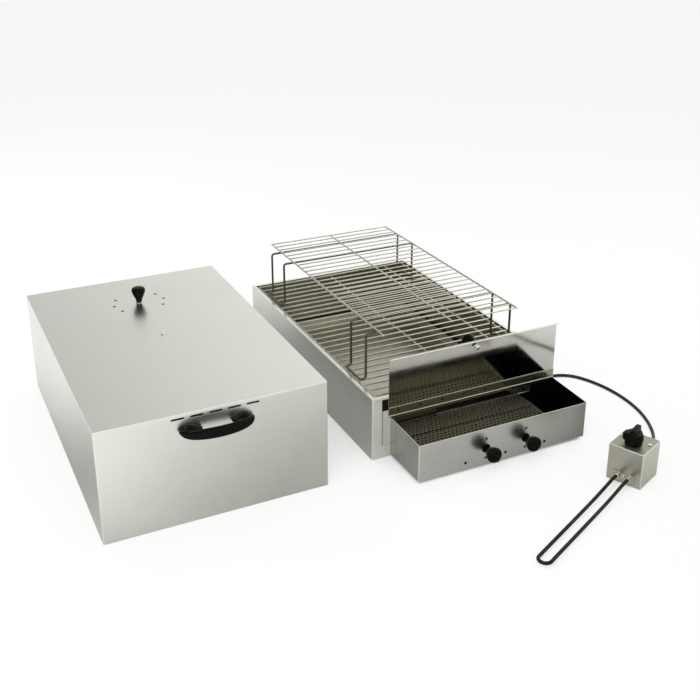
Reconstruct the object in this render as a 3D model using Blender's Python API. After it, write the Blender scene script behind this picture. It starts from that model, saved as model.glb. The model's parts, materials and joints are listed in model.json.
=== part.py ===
# Table-top smoker, taken apart as it stands: a base with its grid and raised rack,
# a firebox with a hinged flap on its front, the hood beside it, and an igniter on a lead.
# Places are measured from the base's front left floor corner, then moved to its centre.
import math

import bmesh
import bpy
import numpy as np
from mathutils import Matrix, Vector

for old in list(bpy.data.objects):
    bpy.data.objects.remove(old, do_unlink=True)

# Overall sizes
base_width = 0.440
base_depth = 0.672
base_height = 0.138
sheet = 0.0012
corner_radius = 0.003
clearance = 0.0003
running_gap = 0.0006

# Base
rim_width = 0.008
front_window_left = 0.022
front_window_low = 0.028
front_window_high = 0.1325
rail_width = 0.014
rail_height = 0.018
rail_end_gap = 0.012
tray_margin = 0.010
tray_height = 0.016

# Lower grid
grid_margin = 0.010
grid_wire = 0.0042
grid_rail_wire = 0.005
grid_weld_depth = 0.0012
grid_pitch = 0.0245
grid_rod_shares = (0.0318, 0.4818, 0.8477, 0.9682)

# Raised rack and its stands
stand_wire = 0.005
stand_height = 0.108
stand_left = 0.028
stand_right_share = 0.8614
stand_foot_reach = 0.013
front_stand_bridges = (0.085, 0.154)
rear_stand_bridges = (0.521, 0.598)
rack_left = 0.047
rack_width_share = 0.7386
rack_front = 0.049
rack_depth = 0.601
rack_wire = 0.0028
rack_rod = 0.004
rack_pitch = 0.0231

# Firebox
firebox_width_share = 0.9080
firebox_reach = 0.119
firebox_floor = 0.0065
firebox_front_top = 0.0865
firebox_back_top = 0.0910
smoke_window_low = 0.0705
smoke_window_high = 0.0860
smoke_window_left_share = 0.27
smoke_window_right_share = 0.85
plate_top = 0.106
air_hole = 0.006
air_hole_low = 0.0205
air_hole_high = 0.0635
low_hole_shares = (0.2691, 0.3867, 0.5056, 0.6245, 0.7447)
air_knob_shares = (0.3867, 0.6245)
air_knob_height = 0.042
air_disc_radius = 0.0255
air_disc_sheet = 0.001
foot_radius = 0.0105
foot_share = 0.4618
foot_setback = 0.011
perforated_width_share = 0.750
perforated_height = 0.0695
perforated_ridge = 0.002
perforated_gap = 0.0035
ridge_setback_share = 0.47

# Flap and its long hinge
flap_overhang = 0.0045
flap_height = 0.1265
flap_lip = 0.006
hinge_height = 0.0935
hinge_knuckle_radius = 0.0020
hinge_pin_radius = 0.0011
hinge_leaf_height = 0.018
hinge_leaf_sheet = 0.001
fixed_leaf_share = 0.34
knuckles = 9
rivet_radius = 0.0021
rivet_head = 0.0008
rivets = 8
rivet_end_gap = 0.022

# Turned knobs
knob_radius = 0.015
knob_length = 0.036
knob_neck_radius = 0.0052
spindle_radius = 0.002
flap_knob_drop = 0.013
screw_head_radius = 0.0042
screw_head_height = 0.0018
screw_hole_radius = 0.0026

# Hood
hood_width = 0.438
hood_depth = 0.675
hood_height = 0.226
hood_gap = 0.1155
hood_setback = -0.041
hood_hem = 0.007
vent_place = 0.524
vent_circle = 0.0555
vent_hole = 0.0075
vent_turn = math.radians(35.8)
vent_disc_radius = 0.070
slot_length = 0.025
slot_height = 0.0038
slot_pitch = 0.0352
slot_place = 0.2165
slots = 5
handle_length = 0.138
handle_reach = 0.038
handle_place = 0.192
handle_sag = 0.001
handle_band = 0.021
handle_thick = 0.013
handle_foot = 0.022
bow_share = 0.8
centre_rivet_radius = 0.003

# Igniter
box_width = 0.0725
box_depth = 0.0735
box_height = 0.0765
box_corner = (0.388, -0.2545)
box_turn = math.radians(-66.7)
heater_rod = 0.0068
heater_spacing = 0.024
heater_reach = 0.323
heater_lift = 0.012
heater_tip_lift = 0.0035
heater_drift = 0.010
dial_radius = 0.0170
dial_skirt = 0.0090
dial_height = 0.0220
dial_wing = 0.0150
dial_grip_radius = 0.0195
dial_pointer_turn = math.radians(28)
dial_place_share = 0.40
regulator_side = 0.040
regulator_height = 0.030
gland_radius = 0.0055
gland_length = 0.007
flange_width = 0.046
flange_height = 0.018

# Lead
cord_diameter = 0.007
cord_lift = 0.0005
coil_layer_turns = 2.4444
coil_radius = 0.0455
coil_centre = (0.496, 0.185)
coil_loop_points = 24
coil_spacing = 0.0076
coil_tail = 0.052
plug_length = 0.042
plug_radius = 0.0135
plug_pin_radius = 0.0022
plug_pin_length = 0.019
plug_pin_spacing = 0.019
cord_route = (
    (0.5120, -0.2385, 0.0150),
    (0.5430, -0.2150, 0.0064),
    (0.5740, -0.1820, 0.0041),
    (0.5900, -0.1590, 0.0041),
    (0.6070, -0.1260, 0.0041),
    (0.6200, -0.0890, 0.0041),
    (0.6280, -0.0480, 0.0041),
    (0.6300, -0.0040, 0.0041),
    (0.6250, 0.0420, 0.0041),
    (0.6120, 0.0850, 0.0041),
    (0.5930, 0.1170, 0.0041),
    (0.5680, 0.1340, 0.0041),
    (0.5430, 0.1390, 0.0041),
)
cord_exit_height = 0.0200

bright, dark = (0.62, 0.61, 0.57, 1.0), (0.012, 0.012, 0.013, 1.0)
looks = {
    "brushed_sheet": (bright, 1.0, 0.34),
    "bright_sheet": ((0.70, 0.69, 0.66, 1.0), 1.0, 0.16),
    "drawn_wire": ((0.66, 0.65, 0.61, 1.0), 1.0, 0.24),
    "perforated_sheet": ((0.36, 0.35, 0.32, 1.0), 1.0, 0.42),
    "plated_fixings": ((0.72, 0.72, 0.70, 1.0), 1.0, 0.20),
    "black_phenolic": (dark, 0.0, 0.22),
    "black_rubber": ((0.018, 0.018, 0.018, 1.0), 0.0, 0.62),
    "cord_rubber": ((0.022, 0.022, 0.023, 1.0), 0.0, 0.50),
    "heater_sheath": ((0.07, 0.068, 0.064, 1.0), 1.0, 0.45),
    "moulded_cream": ((0.58, 0.55, 0.47, 1.0), 0.0, 0.50),
}


def material(name):
    found = bpy.data.materials.get(name)
    if found:
        return found
    colour, metal, rough = looks[name]
    made = bpy.data.materials.new(name)
    made.use_nodes = True
    shader = made.node_tree.nodes["Principled BSDF"]
    shader.inputs["Base Color"].default_value = colour
    shader.inputs["Metallic"].default_value = metal
    shader.inputs["Roughness"].default_value = rough
    made.diffuse_color = colour
    return made


def placed(x, y, z):
    """A point given from the base's front left floor corner, in the part's own frame."""
    return Vector((x - base_width / 2, y - base_depth / 2, z))


def body(name, mesh, look, origin=None, smooth=False):
    obj = bpy.data.objects.new(name, mesh)
    bpy.context.collection.objects.link(obj)
    if look:
        mesh.materials.append(material(look))
    if origin is not None:
        mesh.transform(Matrix.Translation(-origin))
        obj.location = origin
    for face in mesh.polygons:
        face.use_smooth = smooth
    return obj


def mesh_of(points, faces):
    mesh = bpy.data.meshes.new("shape")
    mesh.from_pydata([tuple(p) for p in points], [], faces)
    work = bmesh.new()
    work.from_mesh(mesh)
    bmesh.ops.recalc_face_normals(work, faces=work.faces)
    work.to_mesh(mesh)
    work.free()
    return mesh


def merged(meshes):
    work = bmesh.new()
    for mesh in meshes:
        work.from_mesh(mesh)
    whole = bpy.data.meshes.new("shape")
    work.to_mesh(whole)
    work.free()
    return whole


def box(x0, x1, y0, y1, z0, z1):
    points = [placed(x, y, z) for x in (x0, x1) for y in (y0, y1) for z in (z0, z1)]
    faces = [(0, 1, 3, 2), (4, 6, 7, 5), (0, 4, 5, 1), (2, 3, 7, 6), (0, 2, 6, 4), (1, 5, 7, 3)]
    return mesh_of(points, faces)


def rounded_ring(x0, x1, y0, y1, radius, steps=3):
    """Points round a rectangle with rounded corners, counter-clockwise from above."""
    points = []
    corners = ((x1, y1, 0), (x0, y1, 1), (x0, y0, 2), (x1, y0, 3))
    for x, y, quarter in corners:
        cx = x - radius if x == x1 else x + radius
        cy = y - radius if y == y1 else y + radius
        for step in range(steps):
            angle = (quarter + step / (steps - 1)) * math.pi / 2
            points.append((cx + radius * math.cos(angle), cy + radius * math.sin(angle)))
    return points


def stacked(rings):
    """A closed body through rings of equal count, its first and last ring filled."""
    count = len(rings[0])
    points = [p for ring in rings for p in ring]
    faces = [tuple(range(count))[::-1]]
    for level in range(len(rings) - 1):
        low, high = level * count, (level + 1) * count
        for i in range(count):
            j = (i + 1) % count
            faces.append((low + i, low + j, high + j, high + i))
    last = (len(rings) - 1) * count
    faces.append(tuple(range(last, last + count)))
    return mesh_of(points, faces)


def pan(x0, x1, y0, y1, levels, steps=3):
    """A folded sheet pan from (inset, height) levels, followed round its section."""
    rings = []
    for inset, height in levels:
        radius = max(corner_radius - inset, corner_radius / 4)
        ring = rounded_ring(x0 + inset, x1 - inset, y0 + inset, y1 - inset, radius, steps)
        rings.append([placed(x, y, height) for x, y in ring])
    return stacked(rings)


def turned(profile, place, axis, sides=18):
    """A turned body from (radius, length) pairs along an axis, flat at both ends."""
    frame = Vector(axis).to_track_quat("Z", "Y").to_matrix()
    rings = []
    for radius, along in profile:
        turns = [2 * math.pi * i / sides for i in range(sides)]
        ring = [Vector((radius * math.cos(t), radius * math.sin(t), along)) for t in turns]
        rings.append([place + frame @ p for p in ring])
    return stacked(rings)


def cut(obj, meshes, operation="DIFFERENCE"):
    tool = bpy.data.objects.new(obj.name + "_tool", merged(meshes))
    bpy.context.collection.objects.link(tool)
    tool.hide_render = True
    tool.display_type = "WIRE"
    change = obj.modifiers.new("shape", "BOOLEAN")
    change.object = tool
    change.operation = operation
    change.solver = "EXACT"
    tool.parent = obj
    tool.matrix_parent_inverse = Matrix.Translation(obj.location).inverted()
    return obj


def wires(runs, diameter, sides=6):
    """Straight wires as prisms with a flat side up, from (start, end) pairs."""
    made = []
    for start, end in runs:
        along = (end - start).normalized()
        side = along.cross(Vector((0, 0, 1))).normalized()
        turns = [2 * math.pi * i / sides for i in range(sides)]
        radius = diameter / 2 / math.cos(math.pi / sides)
        spokes = [
            radius * (math.cos(t) * side + math.sin(t) * Vector((0, 0, 1))) for t in turns
        ]
        made.append(stacked([[start + s for s in spokes], [end + s for s in spokes]]))
    return merged(made)


def tube(name, points, radius, look, cyclic=False, fineness=2, origin=None):
    """A round wire or lead bent through its points."""
    curve = bpy.data.curves.new(name, "CURVE")
    curve.dimensions = "3D"
    curve.bevel_depth = radius
    curve.bevel_resolution = fineness
    curve.use_fill_caps = not cyclic
    spline = curve.splines.new("POLY")
    spline.points.add(len(points) - 1)
    start = origin if origin is not None else Vector((0, 0, 0))
    for slot, point in zip(spline.points, points):
        slot.co = (*(Vector(point) - start), 1)
    spline.use_cyclic_u = cyclic
    spline.use_smooth = True
    curve.materials.append(material(look))
    obj = bpy.data.objects.new(name, curve)
    bpy.context.collection.objects.link(obj)
    obj.location = start
    return obj


def bent(corners, radius, cyclic, steps=4):
    """Points of a path whose corners are rounded with arcs of the given radius."""
    count = len(corners)
    path = []
    for i, corner in enumerate(corners):
        if not cyclic and i in (0, count - 1):
            path.append(corner)
            continue
        back = (corners[i - 1] - corner).normalized()
        on = (corners[(i + 1) % count] - corner).normalized()
        half = back.angle(on) / 2
        reach = radius / math.tan(half)
        centre = corner + (back + on).normalized() * (radius / math.sin(half))
        first, last = corner + back * reach - centre, corner + on * reach - centre
        for step in range(steps + 1):
            share = step / steps
            spoke = first.normalized().slerp(last.normalized(), share)
            path.append(centre + spoke * radius)
    return path


def smooth_route(points, spacing):
    """Even points along a smooth curve through the given ones."""
    knots = [Vector(p) for p in points]
    knots = [2 * knots[0] - knots[1]] + knots + [2 * knots[-1] - knots[-2]]
    fine = []
    for i in range(1, len(knots) - 2):
        a, b, c, d = knots[i - 1 : i + 3]
        for step in range(20):
            t = step / 20
            curve = 2 * b + (c - a) * t + (2 * a - 5 * b + 4 * c - d) * t**2
            fine.append((curve + (3 * b - a - 3 * c + d) * t**3) / 2)
    fine.append(knots[-2])
    lengths = np.cumsum([0.0] + [(q - p).length for p, q in zip(fine, fine[1:])])
    count = max(2, round(lengths[-1] / spacing) + 1)
    even = np.linspace(0.0, lengths[-1], count)
    table = np.array([tuple(p) for p in fine])
    return [Vector([np.interp(s, lengths, table[:, k]) for k in range(3)]) for s in even]


# Base tub: a pan with a rim folded inward, its front cut open for the firebox's plate
tub = body(
    "base_tub",
    pan(0, base_width, 0, base_depth, (
        (0, 0), (0, base_height), (rim_width, base_height), (rim_width, base_height - sheet),
        (sheet, base_height - sheet), (sheet, sheet),
    )),
    "brushed_sheet",
)
window_right = base_width - front_window_left
cut(tub, [box(front_window_left, window_right, -rim_width / 2, rim_width / 2,
              front_window_low, front_window_high)])

# Rails inside the long walls, which carry the lower grid
ledge = base_height - grid_wire - grid_rail_wire + grid_weld_depth - clearance
for side, left in (("left", sheet + clearance), ("right", base_width - sheet - clearance)):
    inward = 1 if side == "left" else -1
    outline = (
        (0, ledge), (rail_width, ledge), (rail_width, ledge - sheet),
        (sheet, ledge - sheet), (sheet, ledge - rail_height), (0, ledge - rail_height),
    )
    ends = (rail_end_gap, base_depth - rail_end_gap)
    rings = [[placed(left + inward * x, y, z) for x, z in outline] for y in ends]
    body(f"grid_rail_{side}", stacked(rings), "brushed_sheet")

# Drip tray on the tub's floor
tray_low = sheet + clearance
body(
    "drip_tray",
    pan(tray_margin, base_width - tray_margin, tray_margin, base_depth - tray_margin, (
        (0, tray_low), (0, tray_low + tray_height), (sheet, tray_low + tray_height),
        (sheet, tray_low + sheet),
    )),
    "bright_sheet",
)

# Lower grid: cross wires laid over lengthwise rods and welded into them
cross_height = base_height - grid_wire / 2
rod_height = base_height - grid_wire - grid_rail_wire / 2 + grid_weld_depth
rows = int((base_depth - 2 * grid_margin) / grid_pitch) + 1
first_row = (base_depth - (rows - 1) * grid_pitch) / 2
cross_runs = [
    (placed(grid_margin, first_row + i * grid_pitch, cross_height),
     placed(base_width - grid_margin, first_row + i * grid_pitch, cross_height))
    for i in range(rows)
]
rod_runs = [
    (placed(base_width * share, grid_margin, rod_height),
     placed(base_width * share, base_depth - grid_margin, rod_height))
    for share in grid_rod_shares
]
grid = body("lower_grid", wires(cross_runs, grid_wire), "drawn_wire")
cut(grid, [wires(rod_runs, grid_rail_wire)], "UNION")

# Wire stands: each one closed loop, two bridges joined by a foot loop at each side
foot_height = base_height + stand_wire / 2 + clearance
bridge_height = base_height + stand_height - stand_wire / 2
stands = (("front_stand", front_stand_bridges), ("rear_stand", rear_stand_bridges))
for name, (near, far) in stands:
    left, right = stand_left, base_width * stand_right_share
    reach = stand_foot_reach
    loop = [
        placed(left, near, foot_height), placed(left, near, bridge_height),
        placed(right, near, bridge_height), placed(right, near, foot_height),
        placed(right + reach, near, foot_height), placed(right + reach, far, foot_height),
        placed(right, far, foot_height), placed(right, far, bridge_height),
        placed(left, far, bridge_height), placed(left, far, foot_height),
        placed(left - reach, far, foot_height), placed(left - reach, near, foot_height),
    ]
    bends = bent(loop, stand_wire, True, 3)
    tube(name, bends, stand_wire / 2, "drawn_wire", cyclic=True, fineness=1)

# Raised rack: fine cross wires let into three rods
rack_low = base_height + stand_height + clearance
rod_height = rack_low + rack_rod / 2
cross_height = rack_low + rack_rod - rack_wire / 2 - rack_wire / 8
rows = int(rack_depth / rack_pitch) + 1
first_row = rack_front + (rack_depth - (rows - 1) * rack_pitch) / 2
rack_width = base_width * rack_width_share
rack_right = rack_left + rack_width
cross_runs = [
    (placed(rack_left + rack_rod / 2, first_row + i * rack_pitch, cross_height),
     placed(rack_right - rack_rod / 2, first_row + i * rack_pitch, cross_height))
    for i in range(rows)
]
rods = (rack_left + rack_rod / 2, rack_left + rack_width / 2, rack_right - rack_rod / 2)
rod_runs = [
    (placed(x, rack_front, rod_height), placed(x, rack_front + rack_depth, rod_height))
    for x in rods
]
rack = body("upper_rack", wires(cross_runs, rack_wire), "drawn_wire")
cut(rack, [wires(rod_runs, rack_rod)], "UNION")

# Firebox: a deep pan whose sides rise towards the base, on the front of the tub
firebox_width = base_width * firebox_width_share
firebox_right = base_width
firebox_left = firebox_right - firebox_width
flap_left = firebox_left - flap_overhang
firebox_front = -firebox_reach
firebox_back = -clearance


def firebox_ring(inset, rising, height):
    """A ring of the firebox, its points at the front lower than those at the back."""
    radius = max(corner_radius - inset, corner_radius / 4)
    ring = rounded_ring(
        firebox_left + inset, firebox_right - inset,
        firebox_front + inset, firebox_back - inset, radius,
    )
    return [placed(x, y, height + rising * (y - firebox_front)) for x, y in ring]


slope = (firebox_back_top - firebox_front_top) / firebox_reach
firebox = body(
    "firebox_body",
    stacked([
        firebox_ring(0, 0, firebox_floor), firebox_ring(0, slope, firebox_front_top),
        firebox_ring(sheet, slope, firebox_front_top),
        firebox_ring(sheet, 0, firebox_floor + sheet),
    ]),
    "brushed_sheet",
)


def bore(x, y, z, radius, length, axis, sides=10):
    """A round cutter centred on a place."""
    return turned(((radius, -length / 2), (radius, length / 2)), placed(x, y, z), axis, sides)


across = 8 * sheet
window = box(
    firebox_left + firebox_width * smoke_window_left_share,
    firebox_left + firebox_width * smoke_window_right_share,
    -across, across, smoke_window_low, smoke_window_high,
)
low_hole_places = [firebox_left + firebox_width * share for share in low_hole_shares]
air_knob_places = [firebox_left + firebox_width * share for share in air_knob_shares]
foot_place = firebox_left + firebox_width * foot_share
holes = [bore(x, firebox_front, air_hole_low, air_hole / 2, across, (0, 1, 0))
         for x in low_hole_places]
holes += [bore(x, firebox_front, air_hole_high, air_hole / 2, across, (0, 1, 0))
          for x in air_knob_places]
holes += [bore(x, firebox_front, air_knob_height, screw_hole_radius, across, (0, 1, 0))
          for x in air_knob_places]
foot_y = firebox_front + foot_setback
holes.append(bore(foot_place, foot_y, firebox_floor, screw_hole_radius, across, (0, 0, 1)))
cut(firebox, holes + [window])

# Mounting plate that closes the tub's front opening behind the firebox
plate = body(
    "firebox_mount_plate",
    box(front_window_left + running_gap, window_right - running_gap,
        clearance / 2, clearance / 2 + sheet, front_window_low + running_gap, plate_top),
    "brushed_sheet",
)
cut(plate, [box(
    firebox_left + firebox_width * smoke_window_left_share,
    firebox_left + firebox_width * smoke_window_right_share,
    -across, across, smoke_window_low, smoke_window_high,
)])

# Foot under the firebox, with its screw
foot_y_place = placed(foot_place, foot_y, 0)
body(
    "firebox_foot",
    turned((
        (foot_radius * 0.92, 0), (foot_radius, firebox_floor / 5),
        (foot_radius * 0.94, firebox_floor - clearance),
    ), foot_y_place, (0, 0, 1), 20),
    "black_rubber",
)
cut(bpy.data.objects["firebox_foot"],
    [bore(foot_place, foot_y, firebox_floor, screw_hole_radius, firebox_floor, (0, 0, 1))])
floor_top = firebox_floor + sheet
body(
    "firebox_foot_screw",
    turned((
        (spindle_radius, firebox_floor * 0.6), (spindle_radius, floor_top + clearance),
        (screw_head_radius, floor_top + clearance),
        (screw_head_radius, floor_top + screw_head_height / 2),
        (screw_head_radius / 2, floor_top + screw_head_height),
    ), foot_y_place, (0, 0, 1), 12),
    "plated_fixings",
)

# Perforated tray for the sawdust, a shallow ridge along its middle
tray_left = firebox_left + sheet + perforated_gap
tray_right = tray_left + firebox_width * perforated_width_share
tray_front = firebox_front + sheet + 2 * air_disc_sheet + perforated_gap * 0.3
tray_back = firebox_back - sheet - perforated_gap
ridge = tray_front + (tray_back - tray_front) * ridge_setback_share
tray_top = firebox_floor + perforated_height
outline = (
    (tray_front, floor_top + clearance), (tray_front, tray_top),
    (ridge, tray_top + perforated_ridge), (tray_back, tray_top),
    (tray_back, floor_top + clearance), (tray_back - sheet, floor_top + clearance),
    (tray_back - sheet, tray_top - sheet), (ridge, tray_top + perforated_ridge - sheet),
    (tray_front + sheet, tray_top - sheet), (tray_front + sheet, floor_top + clearance),
)
body(
    "sawdust_tray",
    stacked([[placed(x, y, z) for y, z in outline] for x in (tray_left, tray_right)]),
    "perforated_sheet",
)

# Piano hinge: knuckles in turn on a fixed leaf and on the flap's leaf, round one pin
hinge_axis_y = firebox_back - sheet - clearance - hinge_leaf_sheet / 2
hinge_right = firebox_right - clearance
pin_place = placed(flap_left, hinge_axis_y, hinge_height)
body(
    "hinge_pin",
    turned(((hinge_pin_radius, 0), (hinge_pin_radius, hinge_right - flap_left)),
           pin_place, (1, 0, 0), 10),
    "plated_fixings",
)
knuckle_length = (hinge_right - flap_left) / knuckles


def knuckle_run(first):
    made = []
    for i in range(first, knuckles, 2):
        start = flap_left + i * knuckle_length + clearance / 2
        place = placed(start, hinge_axis_y, hinge_height)
        length = knuckle_length - clearance
        made.append(turned(
            ((hinge_knuckle_radius, 0), (hinge_knuckle_radius, length)), place, (1, 0, 0), 12,
        ))
    return made


def knuckle_clear(first):
    """Room round the other leaf's knuckles."""
    made = []
    for i in range(first, knuckles, 2):
        start = flap_left + i * knuckle_length - clearance / 2
        reach = hinge_knuckle_radius + running_gap
        made.append(box(
            start, start + knuckle_length + clearance, hinge_axis_y - reach,
            hinge_axis_y + reach, hinge_height - reach, hinge_height + reach,
        ))
    return made


pin_bore = turned(
    ((hinge_pin_radius + clearance, -knuckle_length),
     (hinge_pin_radius + clearance, hinge_right - flap_left + knuckle_length)),
    pin_place, (1, 0, 0), 12,
)
leaf_front = hinge_axis_y - hinge_leaf_sheet / 2
leaf_back = leaf_front + hinge_leaf_sheet
leaf_top = hinge_height + hinge_leaf_height
flap_leaf = body(
    "flap_hinge_leaf",
    box(flap_left, hinge_right, leaf_front, leaf_back, hinge_height, leaf_top),
    "bright_sheet",
    origin=placed(firebox_right - firebox_width / 2, hinge_axis_y, hinge_height),
)
cut(flap_leaf, knuckle_run(0), "UNION")
cut(flap_leaf, knuckle_clear(1))
cut(flap_leaf, [pin_bore])
rivet_span = hinge_right - flap_left - 2 * rivet_end_gap
rivet_height = hinge_height + hinge_leaf_height * 0.62
heads = []
for i in range(rivets):
    place = placed(flap_left + rivet_end_gap + rivet_span * i / (rivets - 1),
                   leaf_front + rivet_head, rivet_height)
    heads.append(turned(
        ((rivet_radius, 0), (rivet_radius, 1.4 * rivet_head),
         (rivet_radius / 2, 2 * rivet_head)),
        place, (0, -1, 0), 8,
    ))
cut(flap_leaf, heads, "UNION")
fixed_leaf = body(
    "firebox_hinge_leaf",
    box(firebox_left + corner_radius + clearance, firebox_right - corner_radius - clearance,
        leaf_front, leaf_back,
        hinge_height - hinge_leaf_height * fixed_leaf_share, hinge_height),
    "bright_sheet",
)
cut(fixed_leaf, knuckle_run(1), "UNION")
cut(fixed_leaf, knuckle_clear(0))
cut(fixed_leaf, [pin_bore])

# Flap: a flat sheet with a lip folded along its free edge, and a knob on its back
flap_front = leaf_back + clearance
flap_back = flap_front + sheet
flap_low = hinge_height + hinge_knuckle_radius + running_gap
flap_top = hinge_height + flap_height
lip_front = flap_front - flap_lip
outline = (
    (flap_back, flap_low), (flap_back, flap_top), (lip_front, flap_top),
    (lip_front, flap_top - sheet), (flap_front, flap_top - sheet), (flap_front, flap_low),
)
hinge_origin = placed(firebox_right - firebox_width / 2, hinge_axis_y, hinge_height)
flap = body(
    "flap_panel",
    stacked([[placed(x, y, z) for y, z in outline] for x in (flap_left, hinge_right)]),
    "bright_sheet",
    origin=hinge_origin,
)
flap_middle = (flap_left + hinge_right) / 2
flap_knob_height = flap_top - flap_knob_drop
cut(flap, [bore(flap_middle, flap_front, flap_knob_height, screw_hole_radius, across,
                (0, 1, 0))])

knob_profile = (
    (knob_neck_radius, 0), (knob_neck_radius, knob_length * 0.07),
    (knob_radius * 0.62, knob_length * 0.34), (knob_radius * 0.88, knob_length * 0.60),
    (knob_radius * 0.99, knob_length * 0.76), (knob_radius, knob_length * 0.83),
    (knob_radius * 0.93, knob_length * 0.92), (knob_radius * 0.70, knob_length * 0.98),
    (knob_radius * 0.30, knob_length),
)
bore_radius = spindle_radius + clearance
bore_length = knob_length * 0.45


def knob(name, place, axis, origin):
    """A turned black knob with a blind bore in its neck."""
    made = body(name, turned(knob_profile, place, axis), "black_phenolic", origin, True)
    way = Vector(axis)
    cut(made, [turned(((bore_radius, -bore_length / 2), (bore_radius, bore_length)),
                      place, way, 12)])
    return made


knob("flap_knob", placed(flap_middle, flap_back + clearance, flap_knob_height), (0, 1, 0),
     hinge_origin)
body(
    "flap_knob_screw",
    turned((
        (screw_head_radius / 2, -screw_head_height), (screw_head_radius, -screw_head_height / 2),
        (screw_head_radius, -clearance), (spindle_radius, -clearance),
        (spindle_radius, sheet + bore_length * 0.8),
    ), placed(flap_middle, flap_front, flap_knob_height), (0, 1, 0), 12),
    "plated_fixings",
    origin=hinge_origin,
)

# Air dampers: a disc behind the panel on a spindle, turned by the knob before it
for side, x in zip(("left", "right"), air_knob_places):
    origin = placed(x, firebox_front, air_knob_height)
    inside = firebox_front + sheet + clearance
    disc = body(
        f"air_damper_{side}",
        turned((
            (spindle_radius, -sheet - clearance - bore_length * 0.8),
            (spindle_radius, 0), (air_disc_radius, 0), (air_disc_radius, air_disc_sheet),
            (spindle_radius * 2, air_disc_sheet), (spindle_radius * 2, 2 * air_disc_sheet),
        ), placed(x, inside, air_knob_height), (0, 1, 0), 24),
        "brushed_sheet",
        origin=origin,
    )
    rise = (air_hole_high - air_hole_low) / 2
    cut(disc, [bore(x, inside, air_knob_height + up * rise, air_hole / 2, across, (0, 1, 0))
               for up in (-1, 1)])
    knob(f"air_knob_{side}", placed(x, firebox_front - clearance, air_knob_height),
         (0, -1, 0), origin)

# Hood: a deep folded cover, open below, standing on its hem beside the base
hood_left = -hood_gap - hood_width
hood_right = hood_left + hood_width
hood_front = hood_setback
hood_back = hood_front + hood_depth
hood_middle = (hood_left + hood_right) / 2
hood = body(
    "hood_shell",
    pan(hood_left, hood_right, hood_front, hood_back, (
        (0, hood_height), (0, 0), (hood_hem, 0), (hood_hem, sheet), (sheet, sheet),
        (sheet, hood_height - sheet),
    )),
    "brushed_sheet",
)
vent_y = hood_front + vent_place
openings = []
for side in (0, math.pi):
    for step in (-1, 0, 1):
        turn = side + step * vent_turn
        openings.append(bore(
            hood_middle + vent_circle * math.cos(turn), vent_y + vent_circle * math.sin(turn),
            hood_height, vent_hole / 2, across, (0, 0, 1),
        ))
cover_holes = list(openings)
cover_holes.append(bore(hood_middle, vent_y, hood_height, screw_hole_radius, across, (0, 0, 1)))
rivet_y = hood_front + hood_depth / 2
cover_holes.append(bore(hood_middle, rivet_y, hood_height, screw_hole_radius, across, (0, 0, 1)))
for i in range(slots):
    x = hood_middle + (i - (slots - 1) / 2) * slot_pitch
    cover_holes.append(box(
        x - slot_length / 2, x + slot_length / 2, hood_front - sheet, hood_front + 2 * sheet,
        slot_place - slot_height / 2, slot_place + slot_height / 2,
    ))
screw_reach = handle_length / 2 - handle_foot / 2
for way in (-1, 1):
    cover_holes.append(bore(
        hood_middle + way * screw_reach, hood_front, handle_place, screw_hole_radius,
        across, (0, 1, 0),
    ))
cut(hood, cover_holes)

# Vent damper under the hood's top, and its knob above
vent_origin = placed(hood_middle, vent_y, hood_height)
under = hood_height - sheet - clearance
vent_disc = body(
    "hood_vent_damper",
    turned((
        (spindle_radius, bore_length * 0.8 + sheet + clearance), (spindle_radius, 0),
        (vent_disc_radius, 0), (vent_disc_radius, -air_disc_sheet),
        (spindle_radius * 2, -air_disc_sheet), (spindle_radius * 2, -2 * air_disc_sheet),
    ), placed(hood_middle, vent_y, under), (0, 0, 1), 32),
    "brushed_sheet",
    origin=vent_origin,
)
cut(vent_disc, [bore(
    hood_middle + vent_circle * math.cos(side + step * vent_turn),
    vent_y + vent_circle * math.sin(side + step * vent_turn),
    under, vent_hole / 2, across, (0, 0, 1),
) for side in (0, math.pi) for step in (-1, 0, 1)])
knob("hood_vent_knob", placed(hood_middle, vent_y, hood_height + clearance), (0, 0, 1),
     vent_origin)
body(
    "hood_centre_rivet",
    turned((
        (centre_rivet_radius, under - sheet), (centre_rivet_radius, under),
        (spindle_radius, under), (spindle_radius, hood_height + clearance),
        (centre_rivet_radius, hood_height + clearance),
        (centre_rivet_radius, hood_height + sheet),
        (centre_rivet_radius / 2, hood_height + 1.6 * sheet),
    ), placed(hood_middle, rivet_y, 0), (0, 0, 1), 12),
    "plated_fixings",
)

# Bow handle: a crescent that leaves the front on two broad feet
sections, around = 13, 12
rings = []
for i in range(sections):
    share = i / (sections - 1)
    turn = (share - 0.5) * math.pi
    bow = max(math.cos(turn), 0) ** bow_share
    middle = Vector((
        hood_middle + handle_length / 2 * math.sin(turn) * 0.92,
        hood_front - clearance - handle_thick * 0.32 - bow * (handle_reach - handle_thick),
        handle_place - handle_sag * bow,
    ))
    spread = handle_thick * (0.42 + 0.30 * (1 - bow) ** 2)
    tall = handle_band / 2 * (0.40 + 0.60 * bow ** 0.6)
    rings.append((middle, spread, tall))
centres = [m for m, _, _ in rings]
loft = []
for i, (middle, spread, tall) in enumerate(rings):
    ahead = centres[min(i + 1, sections - 1)] - centres[max(i - 1, 0)]
    ahead.normalize()
    up = Vector((0, 0, 1))
    out = ahead.cross(up).normalized()
    rise = out.cross(ahead).normalized()
    ring = []
    for k in range(around):
        t = 2 * math.pi * k / around
        point = middle + out * math.cos(t) * spread * 0.8 + rise * math.sin(t) * tall
        ring.append(placed(*point))
    loft.append(ring)
handle = body("hood_handle", stacked(loft), "black_phenolic", smooth=True)
pads = []
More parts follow.
